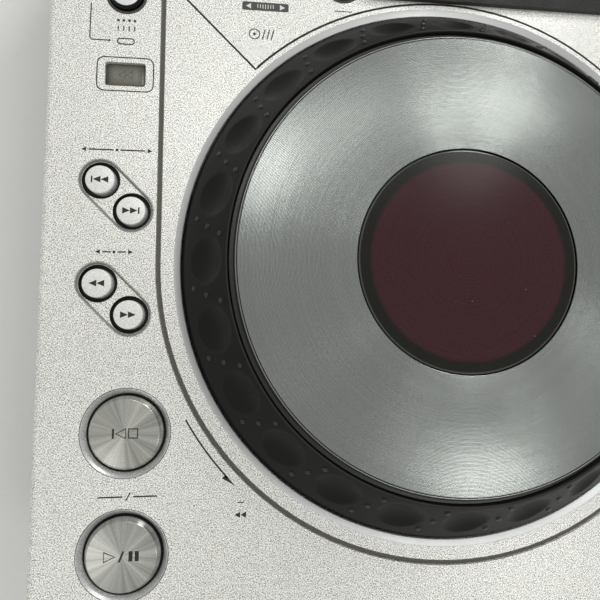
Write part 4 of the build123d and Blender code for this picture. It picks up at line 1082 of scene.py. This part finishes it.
for label, (x, y, radius, lamp, colour) in ROUND_KEYS.items():
    bore, edge = radius - 1.0, radius - 1.0 - 0.3
    bezel = [(bore, -3.0), (radius, -3.0), (radius, 0.05, 0.1), (radius - 0.4, 0.25, 0.25)]
    bezels.append(turned_on_panel([*bezel, (bore, 0.0, 0.15)], (x, y), 160))
    cap = [(0, 1.42), (lamp, 1.42, 0.05), (lamp + 0.1, 1.6, 0.05), (edge - 0.8, 1.6, 0.5)]
    cap = turned_on_panel([*cap, (edge, 0.75, 0.5), (edge, -3.4), (0, -3.4)], (x, y), 160)
    lens = [(0, 1.3), (lamp, 1.3), (lamp, 1.5, 0.08), (lamp * 0.55, 1.58, 0.6), (0, 1.59)]
    lens = turned_on_panel(lens, (x, y), 96)
    plastic, slot = (cap_grey, "key_grey") if label == "reloop" else (cap_gloss, "key_black")
    body = f"{label}_key"
    piece(f"{label}_cap", cap, plastic, body, [f"{label}_button"], sharp=40)
    milky = finish(
        f"{label}_lens", colour, 0.22, 1100.0, 0.00003, Coat_Weight=0.6, Subsurface_Weight=0.15
    )
    piece(f"{label}_window", lens, milky, body)
rings = joined(*bezels)
piece("round_key_rings", rings, ring_grey, "root", ["button_bezels"], sharp=50)


# ---------------------------------------------------------------- tempo slider and brake knob
# A ribbed black slider on a steel stem with a white line, over a felt-lined slot with a printed
# scale, and a fluted rubber-coated knob with a pointer line.
COLUMN_X = 131.0  # of the slider, the knob and the keys between them
KNOB_Y = 74.0
dress(zinc_sheet, "tempo_fader", "brake_pot")
slider_black = finish(
    "slider_black", (0.02, 0.02, 0.021), 0.4, 1700.0, 0.0001, worn=(0.1, 0.1, 0.1), width=0.0005
)
dress(slider_black, "tempo_knob")
knob_worn = (0.07, 0.07, 0.07)
knob_rubber = finish(
    "knob_rubber", (0.024, 0.024, 0.024), 0.55, 2000.0, 0.0001, worn=knob_worn, width=0.0005
)
dress(knob_rubber, "brake_knob")
line_white = finish("line_white", (0.8, 0.8, 0.77), 0.45, 1600.0, 0.00003)
slider_line = prism(box(120.3, -88.35, 141.7, -87.65), PANEL + 9.41, PANEL + 9.45)
piece("slider_line", slider_line, line_white, "tempo")
pointer = prism(box(130.6, 76.0, 131.4, 79.8), PANEL + 12.81, PANEL + 12.84)
piece("knob_pointer", pointer, line_white, "brake")


# ---------------------------------------------------------------- display hood
# A dark satin hood with a smoked window on its slope. Behind it is a segment display that is
# switched off, so only the dull shapes of its digits and bars are seen.
hood_satin = finish(
    "hood_satin", (0.018, 0.0178, 0.0163), 0.5, 1300.0, 0.0002, worn=(0.14, 0.14, 0.13), dust=0.1
)
dress(hood_satin, "display_bezel")
window_smoke = finish(
    "window_smoke", (0.012, 0.012, 0.013), 0.08, 700.0, 0.00001, Coat_Weight=0.5, Alpha=0.62
)
dress(window_smoke, "display_window")
dress(display_glass, "display_module")
dress(cap_gloss, "time_mode_button")
SLOPE = math.atan2(32.7, 84.4)
SLOPE_Y, SLOPE_Z = 73.6, 75.8  # foot of the slope


def on_slope(shape, lift):
    """Moves a flat shape from the plan to the slope, raised over its face by lift."""
    points, faces = shape
    c, s = math.cos(SLOPE), math.sin(SLOPE)
    moved = []
    for x, y, z in points:
        moved.append((x, SLOPE_Y + y * c - (z + lift) * s, SLOPE_Z + y * s + (z + lift) * c))
    return moved, faces


def digit(value, x, y, height):
    """The lit bars of a seven-bar numeral, as slanted polygons."""
    width, bar = height * 0.5, height * 0.09
    rows = [y + bar / 2, y + height / 2, y + height - bar / 2]
    upper = {"top": (0, 2, 1, 2), "right": (1, 2, 1, 1), "left": (0, 1, 0, 2)}
    lower = {"low right": (1, 1, 1, 0), "foot": (0, 0, 1, 0), "low left": (0, 0, 0, 1)}
    bars = {**upper, **lower, "middle": (0, 1, 1, 1)}
    unlit = {0: ["middle"], 4: ["top", "foot", "low left"], 8: []}[value]
    shapes = []
    for name in [name for name in bars if name not in unlit]:
        c0, r0, c1, r1 = bars[name]
        start, end = Vector((x + c0 * width, rows[r0])), Vector((x + c1 * width, rows[r1]))
        along = (end - start).normalized()
        start, end = start + along * bar * 0.6, end - along * bar * 0.6
        tip, side = along * bar / 2, Vector((-along.y, along.x)) * bar / 2
        left = [start + tip + side, end - tip + side]
        shapes.append([start, *left, end, end - tip - side, start + tip - side])
    return [[(px + (py - y) * 0.12, py) for px, py in shape] for shape in shapes]


segment_grey = finish("segment_grey", (0.06, 0.085, 0.08), 0.3, 1500.0, 0.00002)
segments = []
for x in (-44, -33, -18, -7, 8, 19):
    segments += digit(8, x, 54, 15)
segments += [box(-44 + 2.9 * i, 37, -44 + 2.9 * i + 2.2, 42) for i in range(40)]
for x in (38, 47, 60, 69):
    segments += digit(8, x, 58, 9)
segments = joined(*(prism(outline, 0, 0.05) for outline in segments))
piece("display_segments", on_slope(segments, -2.98), segment_grey, "root")


# ---------------------------------------------------------------- printed marks
# Fine dark screen print on the lacquer: plain rules, ticks, arrows and symbols beside the keys,
# the arrow of the wheel's slow direction, and the scales of the slider and the knob.
PRINT = PANEL + 0.004, PANEL + 0.03  # foot and face of the ink
marks = []


def line(points, width=0.42, closed=False):
    """Prints a rule."""
    marks.append(ribbon(points, width, *PRINT, closed=closed))


def dot(x, y, radius=0.5):
    """Prints a dot."""
    marks.append(prism(arc((x, y), radius, range(0, 360, 18)), *PRINT))


def solid(outline):
    """Prints a polygon."""
    marks.append(prism(outline, *PRINT))


def wedge(x, y, way, long=1.7, half=0.85):
    """Prints a small triangle that points left or right."""
    solid([(x, y), (x - way * long, y + half), (x - way * long, y - half)][::way])


# round the front of the wheel: curved arrows, a minus and a plus, double wedges
for side, start, end in ((-1, 209.7, 222.6), (1, 330.3, 317.4)):
    count = 25
    line(arc(JOG, 114.7, [start + (end - start) * i / count for i in range(count + 1)]), 0.6)
    tip, back = end - side * 1.9, end + side * 0.7
    head = [spot(JOG, 114.7, tip), spot(JOG, 116.3, back), spot(JOG, 114.55, back)]
    solid(head[::-side])
    line([(side * 79.6 - 1.1, -120.3), (side * 79.6 + 1.1, -120.3)], 0.36)
    for i in range(2):
        wedge(side * (79.6 + 0.1 + 2.1 * i), -124.6, side, 1.9, 1.1)
line([(79.6, -119.2), (79.6, -121.4)], 0.36)
# a bracket beside the beat-loop key, a loop symbol and two rows of beats
line([(-137.2, 64.1), (-137.4, 51.1), (-137.2, 50.4), (-136.5, 49.9), (-130.6, 49.9)])
dot(-130.3, 49.9, 0.42)
loop = arc((-126.2, 49.8), 1.1, range(90, 271, 15)) + arc((-122.3, 49.8), 1.1, range(-90, 91, 15))
line(loop, 0.45, closed=True)
for x in (-127.2, -125.2, -123.2, -121.2):
    dot(x, 58.0)
    line([(x, 53.9), (x, 55.8)], 0.45)
# over the two search pairs: rules with arrow ends
for left, right, y in ((-139.0, -113.6, 7.8), (-133.0, -119.6, -30.2)):
    middle = (left + right) / 2
    wedge(left, y, -1)
    wedge(right, y, 1)
    line([(left + 2.6, y), (middle - 1.2, y)], 0.5)
    line([(middle + 1.2, y), (right - 2.6, y)], 0.5)
    dot(middle, y)
# over the play key: two rules and a slash
line([(-129.3, -117.1), (-121.0, -117.1)], 0.5)
line([(-117.4, -117.1), (-109.2, -117.1)], 0.5)
line([(-119.9, -118.4), (-118.4, -115.8)])
# on the display deck: a small disc symbol with slanted bars
line(arc((-76.2, 55.9), 2.0, range(0, 360, 12)), 0.38, closed=True)
dot(-76.2, 55.9, 0.55)
for i in range(3):
    line([(-73.1 + 1.7 * i, 53.9), (-72.1 + 1.7 * i, 57.9)])
# right column: slider scale with plain numbers, knob scale, eject symbol, rules by the keys
for i in range(21):
    y = -138.0 + 5.0 * i
    long = 3.4 if i % 5 == 0 else 2.0
    line([(119.4 - long, y), (119.4, y)], 0.28)
    line([(142.6, y), (142.6 + long, y)], 0.28)
for value, y in ((8, -138.0), (4, -113.0), (0, -88.0), (4, -63.0), (8, -38.0)):
    for outline in digit(value, 113.2, y - 1.2, 2.4):
        solid(outline)
for i in range(11):
    end = 12.4 if i % 5 == 0 else 11.6
    line([spot((COLUMN_X, KNOB_Y), r, 240 - 30 * i) for r in (10.2, end)], 0.3)
solid([(129.2, 152.2), (132.8, 152.2), (131.0, 154.6)])
line([(129.2, 151.3), (132.8, 151.3)], 0.5)
for y in (2.2, 26.2, 50.2):
    line([(COLUMN_X - 3.5, y), (COLUMN_X + 3.5, y)], 0.34)
for x, y in ((-92.0, 107.0), (-41.4, 67.4), (-131.0, 118.0)):
    line([(x - 3.5, y), (x + 3.5, y)], 0.34)
piece("panel_print", joined(*marks), ink, "root")

# a grey tag on the display deck, with arrows and bars in white
tag_grey = finish("tag_grey", (0.06, 0.06, 0.058), 0.5, 1700.0, 0.00002, drift=0.08)
tag = prism(rounded_box((-72.0, 67.2), (18.0, 3.4), 0.6), *PRINT)
piece("deck_tag", tag, tag_grey, "root")
TAG_PRINT = PANEL + 0.031, PANEL + 0.04
tag_arrows = [[(-79.6, 67.2), (-77.6, 66.1), (-77.6, 68.3)]]
tag_arrows += [[(-64.4, 67.2), (-66.4, 68.3), (-66.4, 66.1)]]
tag_marks = [prism(outline, *TAG_PRINT) for outline in tag_arrows]
for i in range(7):
    foot = 66.3 + 0.3 * abs(i - 3) / 3
    tag_marks.append(ribbon([(-75.0 + i, foot), (-75.0 + i, 68.1)], 0.3, *TAG_PRINT))
piece("deck_tag_marks", joined(*tag_marks), line_white, "root")


# ---------------------------------------------------------------- floor, lamps and camera
# The player stands on a pale matt floor in an evenly lit room. Four soft lamps hang over its
# rear, the strongest low at its rear right, and two in front. The camera is close over the left.
floor_mesh = bpy.data.meshes.new("floor")
floor_mesh.from_pydata([(-4, -4, 0), (4, -4, 0), (4, 4, 0), (-4, 4, 0)], [], [[0, 1, 2, 3]])
floor_mesh.materials.append(
    finish("floor_pale", (0.8, 0.8, 0.79), 0.8, 300.0, 0.0002, drift=0.02)
)
floor = bpy.data.objects.new("floor", floor_mesh)
bpy.context.scene.collection.objects.link(floor)

room = bpy.data.worlds.new("room")
room.use_nodes = True
soft = room.node_tree.nodes["Background"].inputs
soft["Color"].default_value = (1.0, 1.0, 0.97, 1)
soft["Strength"].default_value = 0.53
bpy.context.scene.world = room

for name, direction, width, power in (
    ("rear_lamp", (0.0, 0.47, 0.883), 0.6, 1.05),
    ("low_lamp", (0.42, 0.80, 0.428), 0.3, 4.86),
    ("right_lamp", (0.42, 0.45, 0.788), 0.3, 1.05),
    ("left_lamp", (-0.15, 0.40, 0.904), 0.3, 1.0),
    ("corner_lamp", (-0.45, -0.45, 0.771), 0.3, 0.35),
    ("front_lamp", (0.42, -0.42, 0.804), 0.3, 1.33),
):
    light = bpy.data.lights.new(name, "AREA")
    light.shape = "RECTANGLE"
    light.size, light.size_y = width, 0.3
    light.energy = power
    light.color = (1, 1, 0.975)
    lamp = bpy.data.objects.new(name, light)
    bpy.context.scene.collection.objects.link(lamp)
    away = Vector(direction).normalized()
    lamp.location = Vector((0, JOG[1] / 1000, 0.09)) + away * 1.3
    lamp.rotation_mode = "QUATERNION"
    lamp.rotation_quaternion = away.to_track_quat("Z", "Y")

lens = bpy.data.cameras.new("camera")
lens.sensor_width = 36.0
lens.lens = 27.06
lens.clip_start = 0.01
camera = bpy.data.objects.new("camera", lens)
bpy.context.scene.collection.objects.link(camera)
bpy.context.scene.camera = camera
camera.location = (-0.0743, -0.0589, 0.242)
ahead = Vector((0.094, 0.069, -0.993)).normalized()
right = Vector((0.996, 0.001, 0.094))
right = (right - ahead * right.dot(ahead)).normalized()
up = right.cross(ahead)
camera.rotation_mode = "QUATERNION"
camera.rotation_quaternion = Matrix((right, up, -ahead)).transposed().to_quaternion()
bpy.context.scene.view_settings.view_transform = "Standard"
